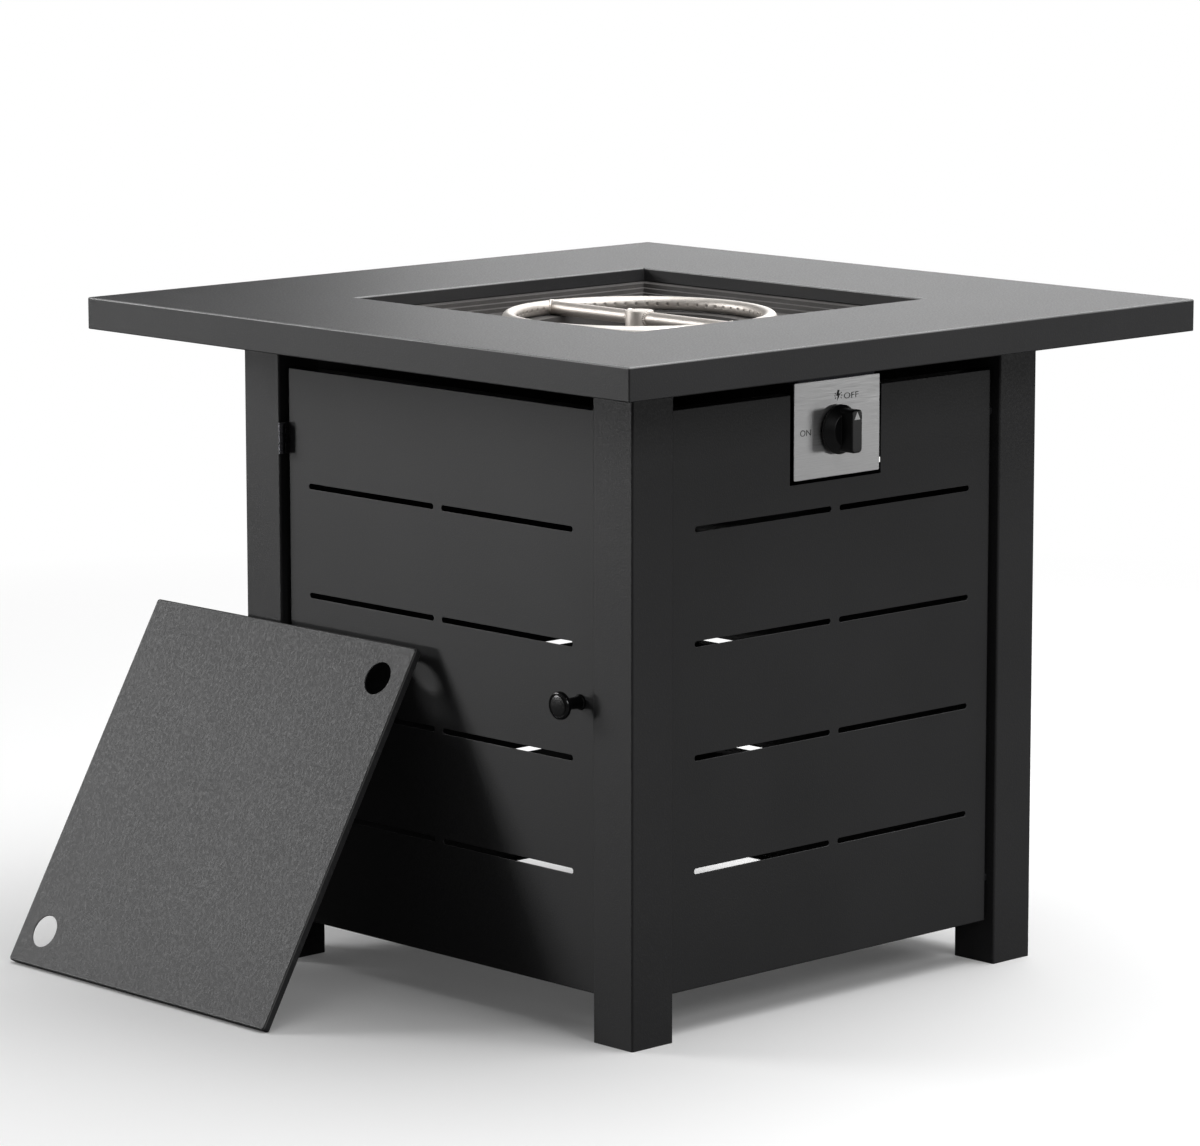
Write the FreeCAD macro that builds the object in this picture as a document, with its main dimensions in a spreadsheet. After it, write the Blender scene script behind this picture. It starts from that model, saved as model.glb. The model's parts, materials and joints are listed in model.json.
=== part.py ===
import FreeCAD, Part
import math
import os
import re
import Sketcher

# Square gas fire pit table: folded steel top on four square legs, slotted panels, a hinged door,
# a fire bowl with a ring burner, a push-and-turn valve and a loose lid leaning on the door side.
# Frame: +Z up, origin on the floor at the centre of the legs, control panel towards -Y, door towards -X.

doc = FreeCAD.newDocument("fire_pit_table")
sheet = doc.addObject("Spreadsheet::Sheet", "sizes")

driving_sizes = [
    ("table_width", 711, "outside width of the square top"),
    ("table_height", 611, "floor to the top face"),
    ("rim_height", 29, "height of the folded rim"),
    ("rim_lip", 12, "width of the lip folded in under the rim"),
    ("top_sheet", 1.5, "sheet of the top"),
    ("top_bend", 1.5, "outside bend radius of the top"),
    ("opening_width", 366, "clear width of the opening for the bowl"),
    ("opening_wall", 13, "height of the wall folded down round the opening"),
    ("leg_outside", 510, "across the outer faces of the legs"),
    ("leg_size", 49, "width of a square leg"),
    ("leg_wall", 1.5, "wall of a leg"),
    ("leg_corner", 2, "outside corner radius of a leg"),
    ("plug_depth", 14, "height of the plastic plug in a leg's foot"),
    ("plug_wall", 2.5, "wall of the plug"),
    ("plug_clearance", 0.1, "gap between plug and leg on each side"),
    ("rail_size", 25, "leaf of the angle rail under the top"),
    ("rail_sheet", 2, "sheet of the angle rail"),
    ("bolt_size", 6, "shank diameter of a rail bolt"),
    ("bolt_drop", 14, "rail top to bolt centre"),
    ("bolt_back", 14.5, "rail face to bolt centre"),
    ("stud_size", 5, "diameter of the studs welded under the top"),
    ("stud_length", 12, "length of a stud"),
    ("stud_spread", 240, "distance between the two studs of a rail"),
    ("nut_size", 9, "round flange nut on a stud"),
    ("nut_height", 4, "height of that nut"),
    ("bearer_size", 20, "square tube that carries the bowl"),
    ("bearer_wall", 1.5, "wall of that tube"),
    ("bearer_spread", 380, "distance between the two bearers"),
    ("panel_recess", 7, "leg face to panel face"),
    ("panel_width", 402, "width of a panel"),
    ("panel_height", 510, "height of a panel"),
    ("panel_bottom", 41, "floor to the lower edge of a panel"),
    ("panel_depth", 15, "depth of the folded edge of a panel"),
    ("panel_sheet", 1.2, "sheet of a panel"),
    ("panel_bend", 1, "outside bend radius of a panel"),
    ("slot_length", 168.3, "length of a vent slot"),
    ("slot_height", 5, "height of a vent slot"),
    ("slot_bevel", 1.46, "bevel of a slot's corners, which stands in for its round ends"),
    ("slot_bridge", 10.7, "metal between two slots of a row"),
    ("slot_top", 445.3, "floor to the highest row of slots"),
    ("slot_pitch", 100, "distance between rows of slots"),
    ("slot_rows", 4, "number of rows of slots"),
    ("spacer_size", 12, "diameter of the spacer between panel and leg"),
    ("spacer_back", 8, "panel face to spacer centre"),
    ("spacer_low", 80, "floor to the lower spacers"),
    ("spacer_high", 512, "floor to the upper spacers"),
    ("panel_screw", 5, "shank diameter of a panel screw"),
    ("screw_head", 9, "head diameter of a panel screw or rail bolt"),
    ("screw_head_height", 3, "head height of a panel screw or rail bolt"),
    ("screw_reach", 3, "how far a screw or bolt stands through the leg wall"),
    ("hole_clearance", 0.2, "how much wider than its screw a hole is"),
    ("plate_width", 108, "width of the control plate"),
    ("plate_height", 86, "height of the control plate"),
    ("plate_bottom", 474.5, "floor to the lower edge of the control plate"),
    ("plate_sheet", 1.2, "sheet of the control plate"),
    ("plate_corner", 1.5, "corner radius of the control plate"),
    ("notch_gap", 3.5, "gap round the control plate in its panel"),
    ("bracket_width", 96, "width of the bracket that carries plate and valve"),
    ("bracket_sheet", 1.5, "sheet of that bracket"),
    ("bracket_flange", 12, "depth of the bracket's folded sides"),
    ("bracket_screw", 4, "diameter of the small machine screws"),
    ("bracket_screw_head", 7, "head diameter of the small machine screws"),
    ("small_head_height", 1.8, "head height of the small machine screws"),
    ("bracket_screw_spread", 76, "distance between the screws that hold the bracket"),
    ("stem_hole", 10, "hole for the stem in plate and bracket"),
    ("knob_height", 516, "floor to the axis of the control knob"),
    ("knob_travel", 2.5, "how far the control knob pushes in"),
    ("knob_gap", 0.4, "gap left under the skirt of a pushed knob"),
    ("knob_skirt", 44, "diameter of the control knob's skirt"),
    ("knob_depth", 21.6, "skirt to grip face of the control knob"),
    ("grip_width", 13.4, "width of the control knob's grip bar"),
    ("grip_length", 38.2, "length of the control knob's grip bar"),
    ("grip_end", 4, "corner radius of the grip bar's ends"),
    ("grip_edge", 1, "bevel round the grip bar's face"),
    ("skirt_edge", 2, "height of the skirt's widest part"),
    ("skirt_slope", 7, "how much narrower the skirt is at its front"),
    ("skirt_height", 9, "height of the skirt"),
    ("knob_wall", 2, "wall of the control knob"),
    ("stem_size", 8, "diameter of the stem in the knob"),
    ("stem_flat", 1.2, "depth of the flat on the stem"),
    ("stem_in_knob", 13, "length of the stem inside the knob's boss"),
    ("boss_wall", 2.5, "wall of the knob's boss round the stem"),
    ("collar_size", 11.6, "diameter of the stem's collar"),
    ("collar_height", 2, "length of the stem's collar"),
    ("tail_size", 7, "diameter of the stem inside the valve"),
    ("tail_length", 24, "length of the stem behind its collar"),
    ("running_gap", 0.05, "radial clearance of a running fit"),
    ("seat_gap", 0.3, "clearance between pieces that rest on each other"),
    ("washer_size", 13.4, "diameter of the spring washer"),
    ("washer_height", 1, "thickness of the spring washer"),
    ("spring_mean", 10, "mean diameter of the valve spring"),
    ("spring_wire", 1, "wire of the valve spring"),
    ("spring_turns", 4, "turns of the valve spring"),
    ("spring_bore", 14, "bore that holds the spring"),
    ("spring_bore_depth", 16, "depth of that bore"),
    ("valve_width", 30, "width of the valve body"),
    ("valve_height", 28, "height of the valve body"),
    ("valve_length", 40, "length of the valve body"),
    ("ear_span", 54, "tip to tip of the valve's ears"),
    ("ear_height", 16, "height of the valve's ears"),
    ("ear_sheet", 3, "thickness of the valve's ears"),
    ("ear_screw_spread", 42, "distance between the valve's screws"),
    ("valve_boss", 16, "diameter of the valve's outlet"),
    ("valve_boss_length", 8, "length of the valve's outlet"),
    ("inlet_back", 27, "valve face to inlet centre"),
    ("inlet_hex", 19, "across the flats of the inlet fitting"),
    ("inlet_hex_height", 8, "height of the inlet fitting's hexagon"),
    ("inlet_thread", 15.88, "outside diameter of the inlet's thread"),
    ("inlet_length", 14, "length of the inlet's thread"),
    ("inlet_bore", 7, "bore of the inlet"),
    ("inlet_spigot", 12, "diameter of the fitting's spigot in the valve"),
    ("inlet_spigot_length", 6, "length of that spigot"),
    ("inlet_edge", 1, "bevel at the end of the inlet's thread"),
    ("valve_edge", 2, "edge radius of the valve body"),
    ("igniter_width", 13, "width of the spark generator"),
    ("igniter_height", 16, "height of the spark generator"),
    ("igniter_length", 30, "length of the spark generator"),
    ("pipe_size", 8, "outside diameter of the feed pipe"),
    ("pipe_wall", 1, "wall of the feed pipe"),
    ("pipe_bend", 18, "bend radius of the feed pipe"),
    ("pipe_dip", 46, "how far the feed pipe dips below the valve"),
    ("pipe_clear", 16, "well to the dropping run of the feed pipe"),
    ("pipe_seat", 5, "how deep the pipe stands in a fitting"),
    ("pipe_nut", 17, "across the flats of a pipe nut"),
    ("pipe_nut_length", 10, "length of a pipe nut"),
    ("bowl_sheet", 1.2, "sheet of the bowl"),
    ("bowl_flange", 398, "outside width of the bowl's flange"),
    ("bowl_ledge", 12, "width of the ledge that the lid rests on"),
    ("bowl_step", 5, "width of each lower step of the bowl"),
    ("bowl_drop", 3.94, "height of each step of the bowl"),
    ("bowl_steps", 3, "number of steps of the bowl"),
    ("well_size", 200, "diameter of the round well in the bowl"),
    ("well_depth", 30, "shelf to the floor of the well"),
    ("well_bend", 8, "bevel at the foot of the well"),
    ("drain_size", 6, "drain hole in the well"),
    ("drain_circle", 120, "circle of the drain holes"),
    ("drain_count", 6, "number of drain holes"),
    ("bowl_screw_spread", 300, "distance between the bowl's screws along a bearer"),
    ("ring_size", 238, "mean diameter of the burner ring"),
    ("ring_tube", 13, "outside diameter of the burner's tube"),
    ("ring_wall", 1, "wall of the burner's tube"),
    ("port_size", 2.8, "side of a flame port, which is as wide as a 3.2 mm drilled one"),
    ("port_count", 72, "number of flame ports"),
    ("crossbar_size", 13, "outside diameter of the bar between ring and hub"),
    ("hub_size", 26, "diameter of the burner's hub"),
    ("hub_rise", 0.5, "how far the hub stands above the tube"),
    ("nipple_size", 20, "diameter of the hub's threaded end"),
    ("nipple_length", 22, "length of the hub's threaded end"),
    ("nipple_bore", 14, "bore of the hub"),
    ("locknut_hex", 30, "across the flats of the burner's locknut"),
    ("locknut_height", 6, "height of the burner's locknut"),
    ("mixer_wall", 2, "wall of the air mixer"),
    ("mixer_length", 38, "length of the air mixer"),
    ("window_width", 9, "width of an air window"),
    ("window_height", 12, "height of an air window"),
    ("window_count", 4, "number of air windows"),
    ("orifice_size", 10, "diameter of the gas nozzle"),
    ("orifice_length", 12, "length of the nozzle above its hexagon"),
    ("orifice_bore", 2, "bore of the nozzle"),
    ("orifice_hex", 14, "across the flats of the gas nozzle"),
    ("orifice_hex_height", 6, "height of the nozzle's hexagon"),
    ("electrode_reach", 84, "table centre to the spark electrode"),
    ("ceramic_size", 7, "diameter of the electrode's insulator"),
    ("ceramic_above", 32, "insulator above the well's floor"),
    ("ceramic_below", 15, "insulator below the well's floor"),
    ("wire_size", 2, "diameter of the electrode's wire"),
    ("spark_gap", 5, "electrode tip to the burner ring"),
    ("terminal_length", 8, "wire below the insulator"),
    ("bushing_size", 14, "flange of the electrode's bushing"),
    ("bushing_height", 6, "height of the electrode's bushing"),
    ("bushing_flange", 2, "thickness of the bushing's flange"),
    ("bushing_neck", 10, "diameter of the bushing's neck"),
    ("bushing_nut", 4, "height of the bushing's nut"),
    ("ceramic_collar", 10, "collar of the insulator on the bushing"),
    ("wire_rise", 4, "electrode wire above the insulator"),
    ("hinge_proud", 0.5, "hinge axis in front of the leg faces"),
    ("hinge_inset", 3.2, "hinge axis from the side of the leg"),
    ("hinge_height", 28.5, "height of a hinge"),
    ("hinge_inset_ends", 49.7, "door end to the nearest hinge end"),
    ("barrel_size", 5.8, "diameter of a hinge barrel"),
    ("barrel_gap", 0.3, "gap between the knuckles of a hinge"),
    ("leaf_sheet", 1.3, "sheet of a hinge leaf"),
    ("leaf_reach", 20, "hinge axis to the back of a leaf"),
    ("hinge_pin", 3, "diameter of a hinge pin"),
    ("hinge_screw", 3, "diameter of a hinge screw"),
    ("hinge_screw_head", 5.6, "head diameter of a hinge screw"),
    ("hinge_head_height", 0.9, "head height of a hinge screw"),
    ("hinge_screw_back", 12, "hinge axis to a hinge screw"),
    ("leg_screw_spread", 20, "distance between the screws of a leg leaf"),
    ("door_screw_spread", 10, "distance between the screws of a door leaf"),
    ("pull_across", 183, "table centre to the door pull"),
    ("pull_size", 25, "diameter of the door pull's head"),
    ("pull_head", 6, "thickness of the door pull's head"),
    ("pull_neck", 12, "diameter of the door pull's neck"),
    ("pull_length", 27, "how far the door pull stands out"),
    ("pull_dish", 1.2, "depth of the dish in the door pull's head"),
    ("pull_rim", 2, "width of the rim round that dish"),
    ("pull_screw_depth", 14, "depth of the screw in the door pull"),
    ("pull_edge", 0.6, "bevel of the door pull's head"),
    ("catch_height", 36, "height of the magnetic catch"),
    ("catch_depth", 20, "depth of the magnetic catch"),
    ("catch_width", 14, "how far the magnetic catch stands off the leg"),
    ("catch_case", 18, "height of the catch's magnet case"),
    ("catch_lug", 3, "thickness of the catch's lugs"),
    ("catch_gap", 0.4, "gap between catch and strike"),
    ("magnet_height", 12, "height of the magnet"),
    ("magnet_width", 7, "width of the magnet"),
    ("magnet_depth", 4, "depth of the magnet"),
    ("strike_width", 15, "width of the strike"),
    ("strike_height", 24, "height of the strike"),
    ("lid_width", 364, "width of the square lid"),
    ("lid_depth", 7.5, "depth of the lid's folded edge"),
    ("lid_sheet", 1.2, "sheet of the lid"),
    ("lid_corner", 3, "corner radius of the lid"),
    ("lid_bend", 1.1, "bevel of the lid's folded edge"),
    ("lid_hole", 30.6, "diameter of a finger hole"),
    ("lid_hole_edge", 33.6, "lid edge to the centre of a finger hole"),
    ("lid_lean", 30, "lean of the lid from upright, in degrees"),
    ("lid_centre", 195, "table centre to lid centre, away from the control panel"),
]
aliases = [alias for alias, number, note in driving_sizes]

# Places that several pieces share, written with the sizes above.
top_under = "(table_height - top_sheet)"
leg_face = "(leg_outside / 2)"
leg_inner = "(leg_outside / 2 - leg_size)"
leg_centre = "(leg_outside / 2 - leg_size / 2)"
panel_face = "(leg_outside / 2 - panel_recess)"
panel_edge = "(panel_width / 2)"
panel_back = f"({panel_face} - panel_depth)"
rail_face = f"({panel_face} - bracket_sheet)"
rail_bottom = f"({top_under} - rail_size)"
bolt_height = f"({top_under} - bolt_drop)"
bolt_place = f"({rail_face} - bolt_back)"
spacer_place = f"({panel_face} - spacer_back)"
bowl_top = "(table_height - opening_wall)"
bowl_under = f"({bowl_top} - bowl_sheet)"
bowl_shelf = f"({bowl_top} - bowl_steps * bowl_drop)"
well_floor = f"({bowl_shelf} - well_depth)"
well_under = f"({well_floor} - bowl_sheet)"
ring_height = f"({bowl_shelf} + seat_gap + ring_tube / 2)"
mixer_top = f"({well_under} - locknut_height)"
mixer_bottom = f"({mixer_top} - mixer_length)"
valve_face = rail_face
valve_back = f"({valve_face} - valve_length)"
valve_end = f"({valve_back} - valve_boss_length)"
inlet_place = f"({valve_face} - inlet_back)"
inlet_top = "(knob_height - valve_height / 2)"
knob_base = f"({panel_face} + plate_sheet + knob_gap + knob_travel)"
collar_front = f"({valve_face} - seat_gap)"
collar_back = f"({collar_front} - collar_height)"
washer_front = f"({collar_back} - seat_gap / 3)"
washer_back = f"({washer_front} - washer_height)"
spring_seat = f"({valve_face} - spring_bore_depth)"
hinge_across = f"({leg_inner} - hinge_inset)"
hinge_front = f"({leg_face} + hinge_proud)"
door_middle = "(panel_bottom + panel_height / 2)"
hinge_low = "(panel_bottom + hinge_inset_ends + hinge_height / 2)"
hinge_high = "(panel_bottom + panel_height - hinge_inset_ends - hinge_height / 2)"
knuckle_height = "((hinge_height - 2 * barrel_gap) / 3)"
catch_front = f"({panel_back} - catch_gap)"
lug_middle = "(catch_height + catch_case) / 4"
hinge_screw_line = f"-({hinge_front} - hinge_screw_back)"
small_clear = "(bracket_screw + hole_clearance)"
hinge_clear = "(hinge_screw + hole_clearance)"
panel_clear = "(panel_screw + hole_clearance)"

sides = {"front": 0, "right": 90, "back": 180, "door": -90}
sub_parts = []

# The burner's tube is drawn with twelve flats, which touch the true circle. Small shanks, pipes and holes
# have eight, and the spring's wire has four.
tube_sides = 12
small_sides = 8
wire_sides = 4
flat_ratio = f"{math.cos(math.pi / tube_sides):.5f}"


def fill_sheet():
    """One row per size: its name, its value with an alias, and what it is."""
    for row, (alias, number, note) in enumerate(driving_sizes, start=1):
        sheet.set(f"A{row}", alias)
        sheet.set(f"B{row}", str(number))
        sheet.setAlias(f"B{row}", alias)
        sheet.set(f"C{row}", note)
    doc.recompute()


def linked(expression):
    """The expression with each size read from the sheet."""

    def from_sheet(word):
        return f"sizes.{word[0]}" if word[0] in aliases else word[0]

    return re.sub(r"[a-z][a-z_]*", from_sheet, expression)


def value(expression):
    """The number that an expression has now."""
    number = sheet.evalExpression(expression)
    return float(getattr(number, "Value", number))


def bind(thing, prop, expression):
    thing.setExpression(prop, linked(expression))


def new_body(label, turn=0, x="0", y="0", z="0"):
    """A body whose own frame is the table's, turned about the table's upright axis."""
    body = doc.addObject("PartDesign::Body", label)
    body.Label = label
    body.Placement = FreeCAD.Placement(FreeCAD.Vector(), FreeCAD.Rotation(FreeCAD.Vector(0, 0, 1), turn))
    for axis, expression in zip("xyz", (x, y, z)):
        bind(body, f".Placement.Base.{axis}", expression)
    sub_parts.append(body)
    return body


def new_sketch(body, role, x="0", y="0", z="0"):
    """A sketch on one of the body's own planes, its origin moved by x, y and along its normal by z."""
    sketch = body.newObject("Sketcher::SketchObject", f"{body.Label}_sketch")
    plane = next(feature for feature in body.Origin.OriginFeatures if feature.Role == role)
    sketch.AttachmentSupport = [(plane, "")]
    sketch.MapMode = "FlatFace"
    for axis, expression in zip("xyz", (x, y, z)):
        bind(sketch, f".AttachmentOffset.Base.{axis}", expression)
    return sketch


def constrain(sketch, expression, *terms):
    """A sketch dimension that follows an expression."""
    index = sketch.addConstraint(Sketcher.Constraint(*terms, value(expression)))
    bind(sketch, f"Constraints[{index}]", expression)


def fix_point(sketch, geometry, point, x, y):
    constrain(sketch, x, "DistanceX", -1, 1, geometry, point)
    constrain(sketch, y, "DistanceY", -1, 1, geometry, point)


def outline(sketch, points):
    """A closed outline of straight lines through points, each a pair of expressions."""
    places = [FreeCAD.Vector(value(x), value(y), 0) for x, y in points]
    lines = [sketch.addGeometry(Part.LineSegment(start, places[(index + 1) % len(places)]))
             for index, start in enumerate(places)]
    for index, (line, (x, y)) in enumerate(zip(lines, points)):
        sketch.addConstraint(Sketcher.Constraint("Coincident", line, 2, lines[(index + 1) % len(lines)], 1))
        fix_point(sketch, line, 1, x, y)


def rectangle(sketch, width, height, x="0", y="0"):
    left, right = f"({x} - ({width}) / 2)", f"({x} + ({width}) / 2)"
    low, high = f"({y} - ({height}) / 2)", f"({y} + ({height}) / 2)"
    outline(sketch, [(left, low), (right, low), (right, high), (left, high)])


def circle(sketch, diameter, x="0", y="0"):
    centre = FreeCAD.Vector(value(x), value(y), 0)
    ring = sketch.addGeometry(Part.Circle(centre, FreeCAD.Vector(0, 0, 1), value(diameter) / 2))
    constrain(sketch, diameter, "Diameter", ring)
    fix_point(sketch, ring, 3, x, y)


def hexagon(sketch, flats, x="0", y="0"):
    """A hexagon by the distance across its flats, with two corners on its own x line."""
    corner = f"({flats}) / sqrt(3)"
    points = [(f"{x} + {corner} * {math.cos(math.radians(60 * step)):.1f}",
               f"{y} + ({flats}) / 2 * {side}") for step, side in enumerate((0, 1, 1, 0, -1, -1))]
    outline(sketch, points)


def many_sided(sketch, sides, diameter, x="0", y="0"):
    """A regular outline with its corners on a circle, a light stand-in for the circle."""
    points = []
    for step in range(sides):
        angle = 2 * math.pi * (step + 0.5) / sides
        points.append((f"{x} + ({diameter}) * {math.cos(angle) / 2:.5f}",
                       f"{y} + ({diameter}) * {math.sin(angle) / 2:.5f}"))
    outline(sketch, points)


def small_round(sketch, diameter, x="0", y="0"):
    """The section of a small shank, with its corners on the stated circle."""
    many_sided(sketch, small_sides, diameter, x, y)


def small_hole(sketch, diameter, x="0", y="0"):
    """A small hole whose flats lie on the stated circle."""
    across_corners = f"({diameter}) * {1 / math.cos(math.pi / small_sides):.5f}"
    many_sided(sketch, small_sides, across_corners, x, y)


def slot(sketch, x, y):
    """A level vent slot centred on x, y."""
    right, left = f"({x} + slot_length / 2)", f"({x} - slot_length / 2)"
    high, low = f"({y} + slot_height / 2)", f"({y} - slot_height / 2)"
    outline(sketch, [(f"({left} + slot_bevel)", low), (f"({right} - slot_bevel)", low),
                     (right, f"({low} + slot_bevel)"), (right, f"({high} - slot_bevel)"),
                     (f"({right} - slot_bevel)", high), (f"({left} + slot_bevel)", high),
                     (left, f"({high} - slot_bevel)"), (left, f"({low} + slot_bevel)")])


def finish_feature(body, feature, base_volume, grows):
    """Recompute and make sure that the feature added or removed material as meant."""
    doc.recompute()
    body.Tip = feature
    changed = feature.Shape.Volume - base_volume
    if (changed > 0) != grows or abs(changed) < 1e-6:
        raise RuntimeError(f"{body.Label}: {feature.Name} changed the volume by {changed}")
    return feature


def volume_so_far(body):
    return body.Tip.Shape.Volume if body.Tip is not None else 0.0


def pad(body, sketch, length, reverse=False, both=False):
    base = volume_so_far(body)
    feature = body.newObject("PartDesign::Pad", f"{body.Label}_pad")
    feature.Profile = sketch
    feature.Reversed = reverse
    feature.Midplane = both
    bind(feature, "Length", length)
    return finish_feature(body, feature, base, True)


def pocket(body, sketch, length, reverse=False, both=False):
    base = volume_so_far(body)
    feature = body.newObject("PartDesign::Pocket", f"{body.Label}_pocket")
    feature.Profile = sketch
    feature.Reversed = reverse
    feature.Midplane = both
    bind(feature, "Length", length)
    return finish_feature(body, feature, base, False)


def revolve(body, sketch, axis="V_Axis"):
    base = volume_so_far(body)
    feature = body.newObject("PartDesign::Revolution", f"{body.Label}_revolution")
    feature.Profile = sketch
    feature.ReferenceAxis = (sketch, [axis])
    feature.Angle = 360
    return finish_feature(body, feature, base, True)


def groove(body, sketch, axis="V_Axis"):
    base = volume_so_far(body)
    feature = body.newObject("PartDesign::Groove", f"{body.Label}_groove")
    feature.Profile = sketch
    feature.ReferenceAxis = (sketch, [axis])
    feature.Angle = 360
    return finish_feature(body, feature, base, False)


def ring_pattern(body, features, count, grows=True, angle=360):
    """The features repeated evenly about the body's upright axis."""
    base = volume_so_far(body)
    pattern = body.newObject("PartDesign::PolarPattern", f"{body.Label}_ring")
    pattern.Originals = features
    pattern.Axis = (next(feature for feature in body.Origin.OriginFeatures if feature.Role == "Z_Axis"), [""])
    pattern.Angle = angle
    bind(pattern, "Occurrences", count)
    return finish_feature(body, pattern, base, grows)


def row_pattern(body, features, sketch, axis, length, count):
    """Openings repeated evenly against the direction of a sketch axis."""
    base = volume_so_far(body)
    pattern = body.newObject("PartDesign::LinearPattern", f"{body.Label}_row")
    pattern.Originals = features
    pattern.Direction = (sketch, [axis])
    pattern.Reversed = True
    bind(pattern, "Length", length)
    bind(pattern, "Occurrences", count)
    return finish_feature(body, pattern, base, False)


def mirror(body, features, role, grows=True):
    base = volume_so_far(body)
    copy = body.newObject("PartDesign::Mirrored", f"{body.Label}_mirror")
    copy.Originals = features
    copy.MirrorPlane = (next(feature for feature in body.Origin.OriginFeatures if feature.Role == role), [""])
    return finish_feature(body, copy, base, grows)


def round_edges(body, radius, chosen, bevel=False):
    """Fillet or bevel the edges of the body so far whose middle point and direction pass the test."""
    tip = body.Tip
    names = []
    for index, edge in enumerate(tip.Shape.Edges, start=1):
        middle = edge.valueAt((edge.FirstParameter + edge.LastParameter) / 2)
        direction = edge.tangentAt((edge.FirstParameter + edge.LastParameter) / 2)
        if chosen(middle, direction):
            names.append(f"Edge{index}")
    if not names:
        raise RuntimeError(f"{body.Label}: no edge to round")
    kind, size = ("Chamfer", "Size") if bevel else ("Fillet", "Radius")
    feature = body.newObject(f"PartDesign::{kind}", f"{body.Label}_edges")
    feature.Base = (tip, names)
    bind(feature, size, radius)
    doc.recompute()
    body.Tip = feature
    return feature


def near(first, second):
    return abs(first - second) < 1e-4


def flat_circle(sketch, diameter, flat, x, y):
    """A circle with a level chord cut off its top."""
    radius = value(diameter) / 2
    angle = math.asin(1 - value(flat) / radius)
    centre = FreeCAD.Vector(value(x), value(y), 0)
    ring = Part.Circle(centre, FreeCAD.Vector(0, 0, 1), radius)
    arc = sketch.addGeometry(Part.ArcOfCircle(ring, math.pi - angle, 2 * math.pi + angle))
    left, right = sketch.Geometry[arc].StartPoint, sketch.Geometry[arc].EndPoint
    chord = sketch.addGeometry(Part.LineSegment(right, left))
    sketch.addConstraint(Sketcher.Constraint("Coincident", arc, 2, chord, 1))
    sketch.addConstraint(Sketcher.Constraint("Coincident", chord, 2, arc, 1))
    sketch.addConstraint(Sketcher.Constraint("Horizontal", chord))
    constrain(sketch, diameter, "Diameter", arc)
    fix_point(sketch, arc, 3, x, y)
    constrain(sketch, f"{y} + ({diameter}) / 2 - {flat}", "DistanceY", -1, 1, chord, 1)


def screw(body, role, x, y, seat, shank, length, head, head_height, forward):
    """A hexagon-headed screw square to a plane: head on one side of `seat`, shank on the other."""
    stem = new_sketch(body, role, x, y, seat)
    small_round(stem, shank)
    first = pad(body, stem, length, reverse=not forward)
    cap = new_sketch(body, role, x, y, seat)
    hexagon(cap, head)
    return [first, pad(body, cap, head_height, reverse=forward)]


def tabletop():
    """Top sheet with a folded rim and lip, and a wall folded down round the opening."""
    body = new_body("tabletop", z="table_height")
    block = new_sketch(body, "XY_Plane")
    rectangle(block, "table_width", "table_width")
    pad(body, block, "rim_height", reverse=True)
    cavity = new_sketch(body, "XY_Plane", z="-rim_height")
    rectangle(cavity, "table_width - 2 * top_sheet", "table_width - 2 * top_sheet")
    rectangle(cavity, "opening_width + 2 * top_sheet", "opening_width + 2 * top_sheet")
    pocket(body, cavity, "rim_height - top_sheet", reverse=True)
    below_wall = new_sketch(body, "XY_Plane", z="-rim_height")
    rectangle(below_wall, "opening_width + 2 * top_sheet", "opening_width + 2 * top_sheet")
    pocket(body, below_wall, "rim_height - opening_wall", reverse=True)
    opening = new_sketch(body, "XY_Plane")
    rectangle(opening, "opening_width", "opening_width")
    pocket(body, opening, "rim_height")
    lip = new_sketch(body, "XY_Plane", z="-rim_height")
    rectangle(lip, "table_width - top_sheet", "table_width - top_sheet")
    rectangle(lip, "table_width - 2 * rim_lip", "table_width - 2 * rim_lip")
    pad(body, lip, "top_sheet")
    half, hole = value("table_width / 2"), value("opening_width / 2")

    def outer_bend(middle, direction):
        at_top = near(middle.z, 0) and (near(abs(middle.x), half) or near(abs(middle.y), half))
        upright = near(abs(middle.x), half) and near(abs(middle.y), half)
        return at_top or upright

    def opening_bend(middle, direction):
        return near(middle.z, 0) and near(max(abs(middle.x), abs(middle.y)), hole)

    def folded(middle, direction):
        return outer_bend(middle, direction) or opening_bend(middle, direction)

    round_edges(body, "top_bend", folded)


def leg(label, turn, face_a, face_b):
    """Square tube; face_a and face_b list the holes in its two inner faces as (back, height, size)."""
    body = new_body(label, turn)
    section = new_sketch(body, "XY_Plane")
    inside = "leg_size - 2 * leg_wall"
    rectangle(section, "leg_size", "leg_size", f"-{leg_centre}", f"-{leg_centre}")
    rectangle(section, inside, inside, f"-{leg_centre}", f"-{leg_centre}")
    pad(body, section, top_under)
    corner_low, corner_high = -value(leg_face), -value(leg_inner)

    def outer_corner(middle, direction):
        at_x = near(middle.x, corner_low) or near(middle.x, corner_high)
        at_y = near(middle.y, corner_low) or near(middle.y, corner_high)
        return at_x and at_y and near(abs(direction.z), 1)

    round_edges(body, "leg_corner", outer_corner)
    if face_a:
        drill = new_sketch(body, "YZ_Plane", z=f"-{leg_inner} - leg_wall")
        for back, height, size in face_a:
            small_hole(drill, size, f"-{back}", height)
        pocket(body, drill, "leg_wall", reverse=True)
    if face_b:
        drill = new_sketch(body, "XZ_Plane", z=f"{leg_inner} + leg_wall")
        for back, height, size in face_b:
            small_hole(drill, size, f"-{back}", height)
        pocket(body, drill, "leg_wall")


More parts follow.
